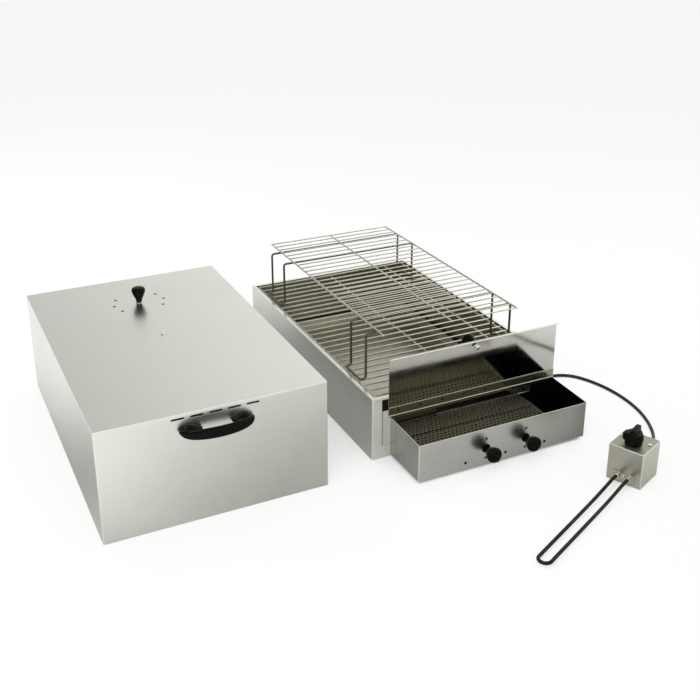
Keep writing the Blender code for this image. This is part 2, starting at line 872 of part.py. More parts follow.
for way in (-1, 1):
    start = placed(hood_middle + way * screw_reach, hood_front - clearance, handle_place)
    pads.append(turned((
        (handle_foot * 0.50, 0), (handle_foot * 0.48, handle_thick * 0.30),
        (handle_foot * 0.30, handle_thick * 0.75),
    ), start, (0, -1, 0), 20))
cut(handle, pads, "UNION")
behind = box(
    hood_left, hood_right, hood_front - clearance, hood_front + handle_reach,
    handle_place - handle_reach, handle_place + handle_reach,
)
screw_bores = [bore(
    hood_middle + way * screw_reach, hood_front, handle_place, bore_radius,
    2 * handle_thick * 0.6, (0, 1, 0),
) for way in (-1, 1)]
cut(handle, [behind])
cut(handle, screw_bores)
for side, way in (("left", -1), ("right", 1)):
    body(
        f"handle_screw_{side}",
        turned((
            (spindle_radius, -sheet - handle_thick * 0.5), (spindle_radius, clearance),
            (screw_head_radius, clearance), (screw_head_radius, screw_head_height / 2),
            (screw_head_radius / 2, screw_head_height),
        ), placed(hood_middle + way * screw_reach, hood_front + sheet, handle_place),
            (0, 1, 0), 12),
        "plated_fixings",
    )

# Igniter: a small steel box with a dial on its top and the heater in its front
box_along = Vector((math.cos(box_turn), math.sin(box_turn), 0))
box_away = Vector((-math.sin(box_turn), math.cos(box_turn), 0))
box_origin = placed(box_corner[0], box_corner[1], 0)


def on_box(along, away, height):
    """A place in the box's own frame: along its heater face, then away from that face."""
    return box_origin + along * box_along + away * box_away + Vector((0, 0, height))


def box_pan(levels):
    rings = []
    for inset, height in levels:
        radius = max(corner_radius / 2 - inset, corner_radius / 4)
        ring = rounded_ring(inset, box_width - inset, inset, box_depth - inset, radius)
        rings.append([on_box(x, y, height) for x, y in ring])
    return stacked(rings)


case_low = clearance + sheet
case = body(
    "igniter_case",
    box_pan(((0, box_height), (0, case_low + clearance), (sheet, case_low + clearance),
             (sheet, box_height - sheet))),
    "brushed_sheet",
)


def box_bore(along, away, height, radius, length, axis, sides=10):
    profile = ((radius, -length / 2), (radius, length / 2))
    return turned(profile, on_box(along, away, height), axis, sides)


dial_along = box_width / 2
dial_away = box_depth * dial_place_share
heater_height = heater_lift + heater_rod / 2
cord_height = cord_exit_height
up_axis = Vector((0, 0, 1))
case_holes = [box_bore(dial_along, dial_away, box_height, 2 * spindle_radius, across, up_axis)]
screw_places = ((box_width * 0.10, box_depth * 0.60), (box_width * 0.88, box_depth * 0.60))
for along, away in screw_places:
    case_holes.append(box_bore(along, away, box_height, screw_hole_radius, across, up_axis))
for way in (-1, 1):
    along = box_width / 2 + way * heater_spacing / 2
    case_holes.append(box_bore(along, 0, heater_height, heater_rod / 2 + running_gap,
                               across, box_away))
case_holes.append(box_bore(box_width / 2, 0, heater_height, screw_hole_radius, across, box_away))
case_holes.append(box_bore(box_width / 2, box_depth, cord_height, cord_diameter * 0.8,
                           across, box_away, 16))
cut(case, case_holes)
body(
    "igniter_base_plate",
    box_pan(((clearance, 0), (clearance, sheet))),
    "brushed_sheet",
)

# Energy regulator under the box's top, with the spindle that carries the dial
regulator_top = box_height - sheet - clearance
half = regulator_side / 2
ring = rounded_ring(dial_along - half, dial_along + half, dial_away - half, dial_away + half,
                    corner_radius / 2)
regulator = body(
    "regulator_body",
    stacked([[on_box(x, y, regulator_top - regulator_height) for x, y in ring],
             [on_box(x, y, regulator_top) for x, y in ring]]),
    "moulded_cream",
)
cut(regulator, [box_bore(dial_along, dial_away, regulator_top, spindle_radius + clearance,
                         regulator_height, up_axis)])
dial_low = box_height + clearance
dial_origin = on_box(dial_along, dial_away, box_height)
body(
    "dial_spindle",
    turned(((spindle_radius, -regulator_height * 0.3), (spindle_radius, dial_height * 0.7)),
           dial_origin, (0, 0, 1), 12),
    "plated_fixings",
    origin=dial_origin,
)
dial = body(
    "dial_knob",
    turned((
        (dial_radius, clearance), (dial_radius, dial_skirt * 0.75),
        (dial_radius * 0.92, dial_skirt), (dial_radius * 0.85, dial_skirt * 1.4),
    ), dial_origin, (0, 0, 1), 24),
    "black_phenolic",
    origin=dial_origin,
    smooth=True,
)


def lobed(radius, height, lobes=3, points=24):
    """A ring with soft lobes, one of them along the pointer."""
    ring = []
    for i in range(points):
        turn = 2 * math.pi * i / points
        reach = radius * (1 + math.cos(lobes * (turn - dial_pointer_turn)) / 9)
        ring.append(dial_origin + Vector((reach * math.cos(turn), reach * math.sin(turn), height)))
    return ring


grip = stacked([
    lobed(dial_grip_radius * 0.84, dial_skirt), lobed(dial_grip_radius, dial_skirt * 1.3),
    lobed(dial_grip_radius, dial_height * 0.86), lobed(dial_grip_radius * 0.86, dial_height),
])
wing_half = dial_wing / 2
wing_outline = (
    (-dial_radius * 0.55, -wing_half), (dial_grip_radius * 1.14, -wing_half * 0.6),
    (dial_grip_radius * 1.14, wing_half * 0.6), (-dial_radius * 0.55, wing_half),
)
turn = Matrix.Rotation(dial_pointer_turn, 3, "Z")
wing = stacked([
    [dial_origin + turn @ Vector((x * grow, y * grow, z)) for x, y in wing_outline]
    for z, grow in ((dial_height * 0.7, 1.0), (dial_height * 1.12, 0.97),
                    (dial_height * 1.34, 0.78))
])
cut(dial, [grip], "UNION")
cut(dial, [wing], "UNION")
cut(dial, [turned(((spindle_radius + clearance, -dial_height),
                   (spindle_radius + clearance, dial_height * 0.9)),
                  dial_origin, (0, 0, 1), 12)])
for side, (along, away) in zip(("left", "right"), screw_places):
    body(
        f"igniter_screw_{side}",
        turned((
            (spindle_radius, -sheet - 2 * screw_head_height), (spindle_radius, clearance),
            (screw_head_radius, clearance), (screw_head_radius, screw_head_height * 0.6),
            (screw_head_radius * 0.55, screw_head_height),
        ), on_box(along, away, box_height), (0, 0, 1), 14),
        "plated_fixings",
    )
ring = rounded_ring(box_width * 0.20, box_width * 0.80, box_depth * 0.30, box_depth * 0.72,
                    corner_radius / 2)
body(
    "terminal_block",
    stacked([[on_box(x, y, z) for x, y in ring]
             for z in (sheet + clearance, sheet + heater_height)]),
    "moulded_cream",
)

# Heater: one rod bent into a hairpin, passing the flange, its glands and the case
inner = sheet + running_gap
start_away = box_depth * 0.26
half = heater_spacing / 2
middle = box_width / 2
tip_height = heater_tip_lift + heater_rod / 2
far = -heater_reach + half
path = [on_box(middle - half, start_away, heater_height),
        on_box(middle - half, -gland_length * 3, heater_height)]
path.append(on_box(middle - half + heater_drift * 0.35, far * 0.35,
                   tip_height + (heater_height - tip_height) * 0.5))
tip = middle + heater_drift
path.append(on_box(tip - half, far, tip_height))
for step in range(1, 8):
    turn = math.pi * step / 8
    path.append(on_box(tip - half * math.cos(turn), far - half * math.sin(turn), tip_height))
mirror = [on_box(tip + half, far, tip_height),
          on_box(middle + half + heater_drift * 0.35, far * 0.35,
                 tip_height + (heater_height - tip_height) * 0.5),
          on_box(middle + half, -gland_length * 3, heater_height),
          on_box(middle + half, start_away, heater_height)]
tube("heater_element", path + mirror, heater_rod / 2, "heater_sheath", fineness=2)

# Flange plate, gland nuts and the screw that holds them to the case
flange_low = heater_height - flange_height / 2
flange = body(
    "heater_flange",
    stacked([
        [on_box(x, away, z) for x, z in (
            (middle - flange_width / 2, flange_low), (middle + flange_width / 2, flange_low),
            (middle + flange_width / 2, flange_low + flange_height),
            (middle - flange_width / 2, flange_low + flange_height),
        )] for away in (-clearance, -clearance - sheet)
    ]),
    "plated_fixings",
)
flange_holes = [box_bore(middle + way * half, 0, heater_height, heater_rod / 2 + running_gap,
                         across, box_away, 16) for way in (-1, 1)]
flange_holes.append(box_bore(middle, 0, heater_height, screw_hole_radius, across, box_away))
cut(flange, flange_holes)
for side, way in (("left", -1), ("right", 1)):
    nut = body(
        f"gland_nut_{side}",
        turned(((gland_radius, 0), (gland_radius, gland_length)),
               on_box(middle + way * half, -2 * clearance - sheet, heater_height),
               -box_away, 6),
        "plated_fixings",
    )
    cut(nut, [box_bore(middle + way * half, 0, heater_height, heater_rod / 2 + clearance,
                       4 * gland_length, box_away, 16)])
body(
    "flange_screw",
    turned((
        (spindle_radius, -3 * sheet), (spindle_radius, 0), (screw_head_radius * 0.8, 0),
        (screw_head_radius * 0.8, screw_head_height * 0.6),
        (screw_head_radius * 0.5, screw_head_height),
    ), on_box(middle, -2 * clearance - sheet, heater_height), -box_away, 12),
    "plated_fixings",
)

# Bushing where the lead leaves the case
bushing_radius = cord_diameter * 0.8 - clearance
outer = box_depth + clearance
bushing = body(
    "cord_bushing",
    turned((
        (bushing_radius, -3 * sheet), (bushing_radius, clearance), (bushing_radius * 1.3, clearance),
        (bushing_radius * 1.3, 2 * sheet), (bushing_radius * 0.95, 5 * sheet),
    ), on_box(box_width / 2, box_depth, cord_height), box_away, 16),
    "black_rubber",
)
cut(bushing, [box_bore(box_width / 2, box_depth, cord_height, cord_diameter / 2 + clearance,
                       30 * sheet, box_away, 16)])

# Lead: a free stretch over the floor, a wound coil beside the base, then the plug
leave = on_box(box_width / 2, box_depth - 3 * sheet, cord_height)
straight = [leave + box_away * cord_diameter * step for step in (0, 1.5, 3)]
coil_low = cord_route[-1][2]
rightward = Vector((1, 0, 0))
coil_start = placed(coil_centre[0], coil_centre[1] - coil_radius, coil_low)
coil_start += rightward * cord_diameter
arrive = [coil_start + rightward * (clearance + cord_diameter * step) for step in (3, 1.5, 0)]
route = straight + [placed(*p) for p in cord_route] + arrive
lead = smooth_route(route, 2.2 * cord_diameter)
tube("mains_cord", lead, cord_diameter / 2, "cord_rubber", fineness=2)

# Coil: spirals in on the floor, climbs in the half turn that reverses it, spirals out
layer_angle = 2 * math.pi * coil_layer_turns
inner_radius = coil_radius - coil_spacing * coil_layer_turns
coil_steps = round((2 * layer_angle + math.pi) / (2 * math.pi) * coil_loop_points)
wound = [coil_start]
for step in range(coil_steps + 1):
    turn = (2 * layer_angle + math.pi) * step / coil_steps
    past = turn - layer_angle
    if past <= 0:
        radius, lift = coil_radius - coil_spacing * turn / (2 * math.pi), 0
    elif past < math.pi:
        dip = min(past, math.pi - past)
        radius, lift = inner_radius - coil_spacing * dip / (2 * math.pi), past / math.pi
    else:
        radius = inner_radius + coil_spacing * (past - math.pi) / (2 * math.pi)
        lift = 1
    wound.append(placed(
        coil_centre[0] - radius * math.sin(turn), coil_centre[1] - radius * math.cos(turn),
        coil_low + coil_spacing * lift,
    ))
tail_way = Vector((-math.cos(turn), math.sin(turn), 0))
tail_rise = plug_radius + cord_lift - coil_low - coil_spacing
tail_start = wound[-1]
for share in (0.1, 0.5, 0.9, 1.0):
    ease = min(max((share - 0.1) / 0.8, 0), 1)
    wound.append(tail_start + tail_way * coil_tail * share + Vector((0, 0, tail_rise * ease)))
tube("mains_coil", wound, cord_diameter / 2, "cord_rubber", fineness=1)
table = np.array([tuple(p) for p in wound])
steps_apart = np.abs(np.subtract.outer(np.arange(len(table)), np.arange(len(table))))
apart = np.linalg.norm(table[:, None] - table[None], axis=2)
least = apart[steps_apart > coil_loop_points / 4].min() - cord_diameter
lengths = [sum((q - p).length for p, q in zip(run, run[1:])) for run in (lead, wound)]
print("least gap in the coil", round(float(least), 5), "lengths", lengths)

# Plug: a round moulded body with two plain pins
plug_start = wound[-1] + tail_way * clearance
plug_body = body(
    "plug_body",
    turned((
        (cord_diameter * 0.64, 0), (cord_diameter * 0.80, plug_length * 0.30),
        (plug_radius * 0.80, plug_length * 0.38), (plug_radius, plug_length * 0.50),
        (plug_radius, plug_length * 0.97), (plug_radius * 0.96, plug_length),
    ), plug_start, tail_way, 20),
    "black_rubber",
)
plug_side = tail_way.cross(Vector((0, 0, 1)))
for side, way in (("left", -1), ("right", 1)):
    place = plug_start + tail_way * (plug_length + clearance)
    place += plug_side * way * plug_pin_spacing / 2
    body(
        f"plug_pin_{side}",
        turned((
            (plug_pin_radius, 0), (plug_pin_radius, plug_pin_length * 0.92),
            (plug_pin_radius * 0.6, plug_pin_length),
        ), place, tail_way, 12),
        "plated_fixings",
    )
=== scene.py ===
import json
import math

import bmesh
import bpy
import numpy as np
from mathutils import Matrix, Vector

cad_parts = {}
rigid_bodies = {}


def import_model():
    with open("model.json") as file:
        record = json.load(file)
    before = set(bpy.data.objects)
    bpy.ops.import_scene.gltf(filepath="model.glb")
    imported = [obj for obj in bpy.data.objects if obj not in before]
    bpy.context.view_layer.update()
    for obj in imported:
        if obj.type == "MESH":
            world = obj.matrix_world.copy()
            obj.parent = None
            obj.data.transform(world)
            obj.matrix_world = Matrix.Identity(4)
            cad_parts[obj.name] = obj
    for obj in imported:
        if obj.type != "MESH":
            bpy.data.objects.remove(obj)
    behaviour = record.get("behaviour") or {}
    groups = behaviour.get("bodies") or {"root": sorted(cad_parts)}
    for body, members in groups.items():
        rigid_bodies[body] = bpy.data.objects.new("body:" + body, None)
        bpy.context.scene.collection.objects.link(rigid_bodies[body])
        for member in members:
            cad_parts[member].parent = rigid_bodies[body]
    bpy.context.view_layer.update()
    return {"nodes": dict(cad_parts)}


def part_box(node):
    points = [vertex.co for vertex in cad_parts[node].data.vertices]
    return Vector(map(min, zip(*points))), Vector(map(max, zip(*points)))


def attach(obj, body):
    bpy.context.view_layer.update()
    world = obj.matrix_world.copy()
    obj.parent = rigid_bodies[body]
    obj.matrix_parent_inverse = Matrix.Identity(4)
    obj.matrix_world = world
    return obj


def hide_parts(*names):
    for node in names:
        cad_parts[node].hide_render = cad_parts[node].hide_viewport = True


# The smoker as it is taken apart for a photograph: hood on the left, open base with its grids,
# firebox with the flap up, and the igniter with its lead in front on the right.
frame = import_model()
cadNodes = frame["nodes"]
bothSides = (("left", -1), ("right", 1))
scene = bpy.context.scene
for leftOver in [o for o in scene.objects if o.name in ("Cube", "Light", "Camera")]:
    bpy.data.objects.remove(leftOver)
print("frame loaded:", len(cadNodes), "nodes")

# Camera: stands back left of the hood's front and looks down over both boxes
cameraSet = {"place": (-1.0227, -1.8879, 1.0899), "down": 20.91, "towardsRight": 25.9,
             "lens": 51.2, "shiftY": -0.12}
cameraData = bpy.data.cameras.new("photoCamera")
cameraData.lens = cameraSet["lens"]
cameraData.sensor_width = 36
cameraData.shift_y = cameraSet["shiftY"]
camera = bpy.data.objects.new("photoCamera", cameraData)
scene.collection.objects.link(camera)
camera.location = cameraSet["place"]
camera.rotation_euler = (math.radians(90 - cameraSet["down"]), 0,
                         -math.radians(cameraSet["towardsRight"]))
scene.camera = camera


# Shapes as whole arrays

def unit(vectors):
    # each vector over its own length
    vectors = np.asarray(vectors, float)
    return vectors / np.linalg.norm(vectors, axis=-1, keepdims=True)


def gridQuads(rows, columns, closeRows=False):
    # rows of closed rings: one quad between each point, the next on its ring and the two above them
    row = np.arange(rows if closeRows else rows - 1)[:, None]
    column = np.arange(columns)[None, :]
    nextRow, nextColumn = (row + 1) % rows, (column + 1) % columns
    corners = (row * columns + column, row * columns + nextColumn,
               nextRow * columns + nextColumn, nextRow * columns + column)
    return np.stack(corners, -1).reshape(-1, 4)


def smoothThrough(points, count):
    # even points on a curve through the given ones: each span is a cubic whose slopes are
    # half the step between the neighbours on its two sides
    knots = np.asarray(points, float)
    knots = np.vstack([2 * knots[0] - knots[1], knots, 2 * knots[-1] - knots[-2]])
    a, b, c, d = knots[:-3, None], knots[1:-2, None], knots[2:-1, None], knots[3:, None]
    t = np.linspace(0, 1, 24, endpoint=False)[None, :, None]
    cubic = 2 * b + (c - a) * t + (2 * a - 5 * b + 4 * c - d) * t**2 + (3 * b - a - 3 * c + d) * t**3
    fine = np.vstack([cubic.reshape(-1, knots.shape[1]) / 2, knots[-2]])
    along = np.concatenate([[0], np.cumsum(np.linalg.norm(np.diff(fine, axis=0), axis=1))])
    even = np.linspace(0, along[-1], count)
    return np.stack([np.interp(even, along, fine[:, k]) for k in range(fine.shape[1])], 1)


def filleted(corners, radius, steps=5, closed=False):
    # corners of a path, each replaced by an arc between the points where the arc touches its sides
    corners = np.asarray(corners, float)
    radii = np.broadcast_to(radius, len(corners)).astype(float)
    back = unit(np.roll(corners, 1, 0) - corners)
    ahead = unit(np.roll(corners, -1, 0) - corners)
    half = np.arccos(np.clip((back * ahead).sum(1), -1, 1)) / 2
    centres = corners + unit(back + ahead) * (radii / np.sin(half))[:, None]
    reach = (radii / np.tan(half))[:, None]
    first, last = corners + back * reach - centres, corners + ahead * reach - centres
    sweep = math.pi - 2 * half
    share = np.linspace(0, 1, steps)[None, :, None]
    turn = sweep[:, None, None]
    arcs = (np.sin((1 - share) * turn) * first[:, None] + np.sin(share * turn) * last[:, None])
    arcs = centres[:, None] + arcs / np.sin(turn)
    if closed:
        return arcs.reshape(-1, corners.shape[1])
    return np.vstack([corners[:1], arcs[1:-1].reshape(-1, corners.shape[1]), corners[-1:]])


def shadeFolds(mesh, angle, broad=0.004):
    # smooth along narrow faces, flat on broad ones, so that a plate mirrors like a plate; the
    # width of a face is taken as its area over half its outline
    count = len(mesh.polygons)
    areas, starts = np.zeros(count), np.zeros(count, np.int32)
    mesh.polygons.foreach_get("area", areas)
    mesh.polygons.foreach_get("loop_start", starts)
    edges = np.zeros(len(mesh.loops), np.int32)
    mesh.loops.foreach_get("edge_index", edges)
    ends = np.zeros(len(mesh.edges) * 2, np.int32)
    mesh.edges.foreach_get("vertices", ends)
    places = np.zeros(len(mesh.vertices) * 3)
    mesh.vertices.foreach_get("co", places)
    places = places.reshape(-1, 3)[ends.reshape(-1, 2)]
    lengths = np.linalg.norm(places[:, 0] - places[:, 1], axis=1)
    around = np.add.reduceat(lengths[edges], starts)
    if "custom_normal" in mesh.attributes:
        mesh.attributes.remove(mesh.attributes["custom_normal"])
    mesh.set_sharp_from_angle(angle=math.radians(angle))
    mesh.polygons.foreach_set("use_smooth", areas / (around / 2 + 1e-9) < broad)


def meshPiece(name, points, faces, finishes, body, smoothAngle=38, faceFinish=None, merge=1e-6):
    # from arrays to a clean mesh: doubles merged, faces turned outward, then shaded by shadeFolds
    mesh = bpy.data.meshes.new(name)
    mesh.from_pydata(np.asarray(points).reshape(-1, 3), [], faces)
    finishes = finishes if isinstance(finishes, (list, tuple)) else [finishes]
    for finish in finishes:
        mesh.materials.append(finish)
    if faceFinish is not None:
        mesh.polygons.foreach_set("material_index", np.asarray(faceFinish, np.int32))
    work = bmesh.new()
    work.from_mesh(mesh)
    bmesh.ops.remove_doubles(work, verts=work.verts, dist=merge)
    bmesh.ops.recalc_face_normals(work, faces=work.faces)
    work.to_mesh(mesh)
    work.free()
    shadeFolds(mesh, smoothAngle)
    piece = bpy.data.objects.new(name, mesh)
    scene.collection.objects.link(piece)
    if body:
        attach(piece, body)
    return piece


def declare(piece, slot, *nodes):
    # hides the CAD nodes that a piece takes the place of
    # slot, the record's slot of its finish, is not used
    if nodes:
        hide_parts(*nodes)


def bakeModifiers(piece, smoothAngle=38):
    # what the modifiers make of the piece becomes its own mesh
    graph = bpy.context.evaluated_depsgraph_get()
    baked = bpy.data.meshes.new_from_object(piece.evaluated_get(graph))
    piece.modifiers.clear()
    piece.data = baked
    shadeFolds(baked, smoothAngle)
    return piece


def cutOut(piece, cutters):
    # takes the closed shapes in cutters, each (points, faces), out of the piece
    for points, faces in cutters:
        tool = meshPiece("cutter", points, faces, [], None)
        change = piece.modifiers.new("cut", "BOOLEAN")
        change.object = tool
        change.solver = "EXACT"
        bakeModifiers(piece)
        bpy.data.objects.remove(tool)
    return piece


def basis(axis):
    # two directions square to the axis, then the axis; the slanted reference lies along no axis here
    axis = unit(axis)
    side = unit(np.cross(axis, (0.31, 0.52, 0.79)))
    return np.stack([side, np.cross(axis, side), axis])


def revolved(profile, place, axis, segments=64):
    # a profile of (radius, height) turned round an axis through a place
    profile = np.asarray(profile, float)
    turn = np.linspace(0, 2 * math.pi, segments, endpoint=False)
    ring = np.stack([np.cos(turn), np.sin(turn)], 1)
    flat = profile[:, None, 0, None] * ring[None]
    local = np.concatenate([flat, np.broadcast_to(profile[:, None, 1:2], (*flat.shape[:2], 1))], 2)
    points = local.reshape(-1, 3) @ basis(axis) + np.asarray(place)
    faces = gridQuads(len(profile), segments).tolist()
    if profile[0, 0] > 1e-7:
        faces.append(list(range(segments)))
    if profile[-1, 0] > 1e-7:
        faces.append(list(range((len(profile) - 1) * segments, len(profile) * segments)))
    return points, faces


def turnedPiece(name, profile, place, axis, segments, finish, body, smoothAngle, slot, *nodes):
    # a profile turned round an axis, made a piece that takes the place of the CAD nodes it is given
    piece = meshPiece(name, *revolved(profile, place, axis, segments), finish, body, smoothAngle)
    declare(piece, slot, *nodes)
    return piece


def sweptTube(path, radius, sides=16, closed=False):
    # a ring of the given radius carried along a path, square to it, over a fixed slanted reference
    path = np.asarray(path, float)
    ahead = np.roll(path, -1, 0) - np.roll(path, 1, 0)
    if not closed:
        ahead[0], ahead[-1] = path[1] - path[0], path[-1] - path[-2]
    ahead = unit(ahead)
    side = unit(np.cross(ahead, (0.37, 0.29, 0.88)))
    rise = np.cross(side, ahead)
    turn = np.linspace(0, 2 * math.pi, sides, endpoint=False)[None, :, None]
    points = path[:, None] + radius * (np.cos(turn) * side[:, None] + np.sin(turn) * rise[:, None])
    faces = gridQuads(len(path), sides, closeRows=closed).tolist()
    if not closed:
        faces += [list(range(sides)), list(range((len(path) - 1) * sides, len(path) * sides))]
    return points.reshape(-1, 3), faces


def wireBundle(starts, ends, diameter, sides=12, stations=9, wander=0.0):
    # straight wires, each a ring carried from start to end whose ends close along a quarter
    # circle; every wire strays sideways by a slow sine of its own phase
    starts, ends = np.asarray(starts, float), np.asarray(ends, float)
    radius, length = diameter / 2, np.linalg.norm(ends - starts, axis=1)[:, None]
    quarter = np.linspace(0, math.pi / 2, 4)
    tip = radius * 0.6 * (1 - np.cos(quarter))
    middle = np.linspace(0, 1, stations)[1:-1][None]
    along = np.concatenate([np.broadcast_to(tip, (len(starts), 4)), middle * length,
                            length - np.broadcast_to(tip[::-1], (len(starts), 4))], 1)
    grow = np.concatenate([np.sin(quarter), np.ones(stations - 2), np.sin(quarter[::-1])])
    ahead = unit(ends - starts)
    side = unit(np.cross(ahead, (0, 0, 1)))
    rise = np.cross(side, ahead)
    phase = np.arange(len(starts))[:, None] * 2.4
    stray = wander * np.sin(phase + along / length * 5.1) * (0.4 + 0.6 * np.sin(phase * 1.7))
    centres = starts[:, None] + along[..., None] * ahead[:, None] + stray[..., None] * side[:, None]
    turn = np.linspace(0, 2 * math.pi, sides, endpoint=False)
    spokes = (np.cos(turn)[None, :, None] * side[:, None] + np.sin(turn)[None, :, None] * rise[:, None])
    points = centres[:, :, None] + radius * grow[None, :, None, None] * spokes[:, None]
    quads = gridQuads(along.shape[1], sides)
    shifts = np.arange(len(starts)) * along.shape[1] * sides
    return points.reshape(-1, 3), (quads[None] + shifts[:, None, None]).reshape(-1, 4)


def beads(centres, reach, rows=5, columns=8):
    # a small flattened ball of weld at each place
    polar = np.linspace(0, math.pi, rows)[:, None]
    turn = np.linspace(0, 2 * math.pi, columns, endpoint=False)[None]
    ball = np.stack([np.sin(polar) * np.cos(turn), np.sin(polar) * np.sin(turn),
                     np.cos(polar) * np.ones_like(turn)], -1).reshape(-1, 3) * reach
    centres = np.asarray(centres, float)
    points = centres[:, None] + ball[None]
    quads = gridQuads(rows, columns)
    shifts = np.arange(len(centres)) * len(ball)
    return points.reshape(-1, 3), (quads[None] + shifts[:, None, None]).reshape(-1, 4)


def gathered(parts):
    # several (points, faces) put together as one, each one's faces counted on from the last
    points, faces, start = [], [], 0
    for somePoints, someFaces in parts:
        points.append(somePoints)
        faces += [[int(i) + start for i in face] for face in someFaces]
        start += len(somePoints)
    return np.vstack(points), faces


def panFaces(rows, columns):
    # the quads between closed rings, and one face over the first and the last ring
    last = (rows - 1) * columns
    return gridQuads(rows, columns).tolist() + [list(range(columns)), list(range(last, last + columns))]


def panShape(low, high, profile, corner, arc=6, slopes=0):
    # a profile of (inset, height) carried round a rectangle with rounded corners; each height
    # grows with the distance from the front by its slope
    (x0, y0), (x1, y1) = low[:2], high[:2]
    inset, height = profile[:, 0, None, None], profile[:, 1, None, None]
    slopes = np.broadcast_to(slopes, len(profile))[:, None, None]
    radius = np.maximum(corner - inset, corner * 0.25)
    quarter = np.arange(4)[None, :, None]
    turn = (quarter + np.linspace(0, 1, arc)[None, None]) * math.pi / 2
    centreX = np.where((quarter == 0) | (quarter == 3), x1 - inset - radius, x0 + inset + radius)
    centreY = np.where(quarter < 2, y1 - inset - radius, y0 + inset + radius)
    x, y = centreX + radius * np.cos(turn), centreY + radius * np.sin(turn)
    z = height + slopes * (y - y0)
    return np.stack([x, y, z], -1).reshape(-1, 3), panFaces(len(profile), 4 * arc)


def insideOf(points, faces, low, high, bottom, top, thick):
    # 1 for each face that lies further in than most of the sheet's thickness, else 0
    x, y, z = np.array([points[face].mean(0) for face in faces]).T
    inset = np.min([x - low[0], high[0] - x, y - low[1], high[1] - y], axis=0)
    reach = thick * 0.75
    return ((inset > reach) & (z > bottom + reach) & (z < top - reach)).astype(int)


def foldedCopy(node, name, finish, body, fold, angle=50):
    # a copy of a CAD solid, merged, its flat facets joined and its edges rounded by the fold
    mesh = cadNodes[node].data.copy()
    mesh.materials.clear()
    mesh.materials.append(finish)
    work = bmesh.new()
    work.from_mesh(mesh)
    bmesh.ops.remove_doubles(work, verts=work.verts, dist=1e-6)
    bmesh.ops.dissolve_limit(work, angle_limit=math.radians(1.5), verts=work.verts, edges=work.edges)
    if fold:
        sharp = [e for e in work.edges if len(e.link_faces) == 2
                 and e.calc_face_angle(0) > math.radians(angle)]
        bmesh.ops.bevel(work, geom=sharp, offset=fold, segments=2, profile=0.5,
                        affect="EDGES", clamp_overlap=True)
    work.to_mesh(mesh)
    work.free()
    shadeFolds(mesh, 38)
    piece = bpy.data.objects.new(name, mesh)
    scene.collection.objects.link(piece)
    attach(piece, body)
    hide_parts(node)
    return piece


# Finishes: one class for the shader's sums, one that builds a material node by node, then a
# function for each kind of surface
class Reading:
    # one socket; an expression on readings and numbers adds the Math nodes that work it out
    def __init__(self, finish, socket):
        self.finish, self.socket = finish, socket

    def maths(self, operation, first, second=None, limit=False):
        sockets = {0: first} if second is None else {0: first, 1: second}
        return self.finish.add("ShaderNodeMath", {"operation": operation, "use_clamp": limit}, sockets)

    def __add__(self, other):
        return self.maths("ADD", self, other)

    __radd__ = __add__

    def __sub__(self, other):
        return self.maths("SUBTRACT", self, other)

    def __rsub__(self, other):
        return self.maths("SUBTRACT", other, self)

    def __mul__(self, other):
        return self.maths("MULTIPLY", self, other)

    __rmul__ = __mul__

    def __truediv__(self, other):
        return self.maths("DIVIDE", self, other)

    def __pow__(self, other):
        return self.maths("POWER", self, other)

    def __gt__(self, other):
        return self.maths("GREATER_THAN", self, other)

    def __abs__(self):
        return self.maths("ABSOLUTE", self)

    def atLeast(self, other):
        return self.maths("MAXIMUM", self, other)

    def atMost(self, other):
        return self.maths("MINIMUM", self, other)

    def limited(self):
        return self.maths("ADD", self, 0.0, limit=True)


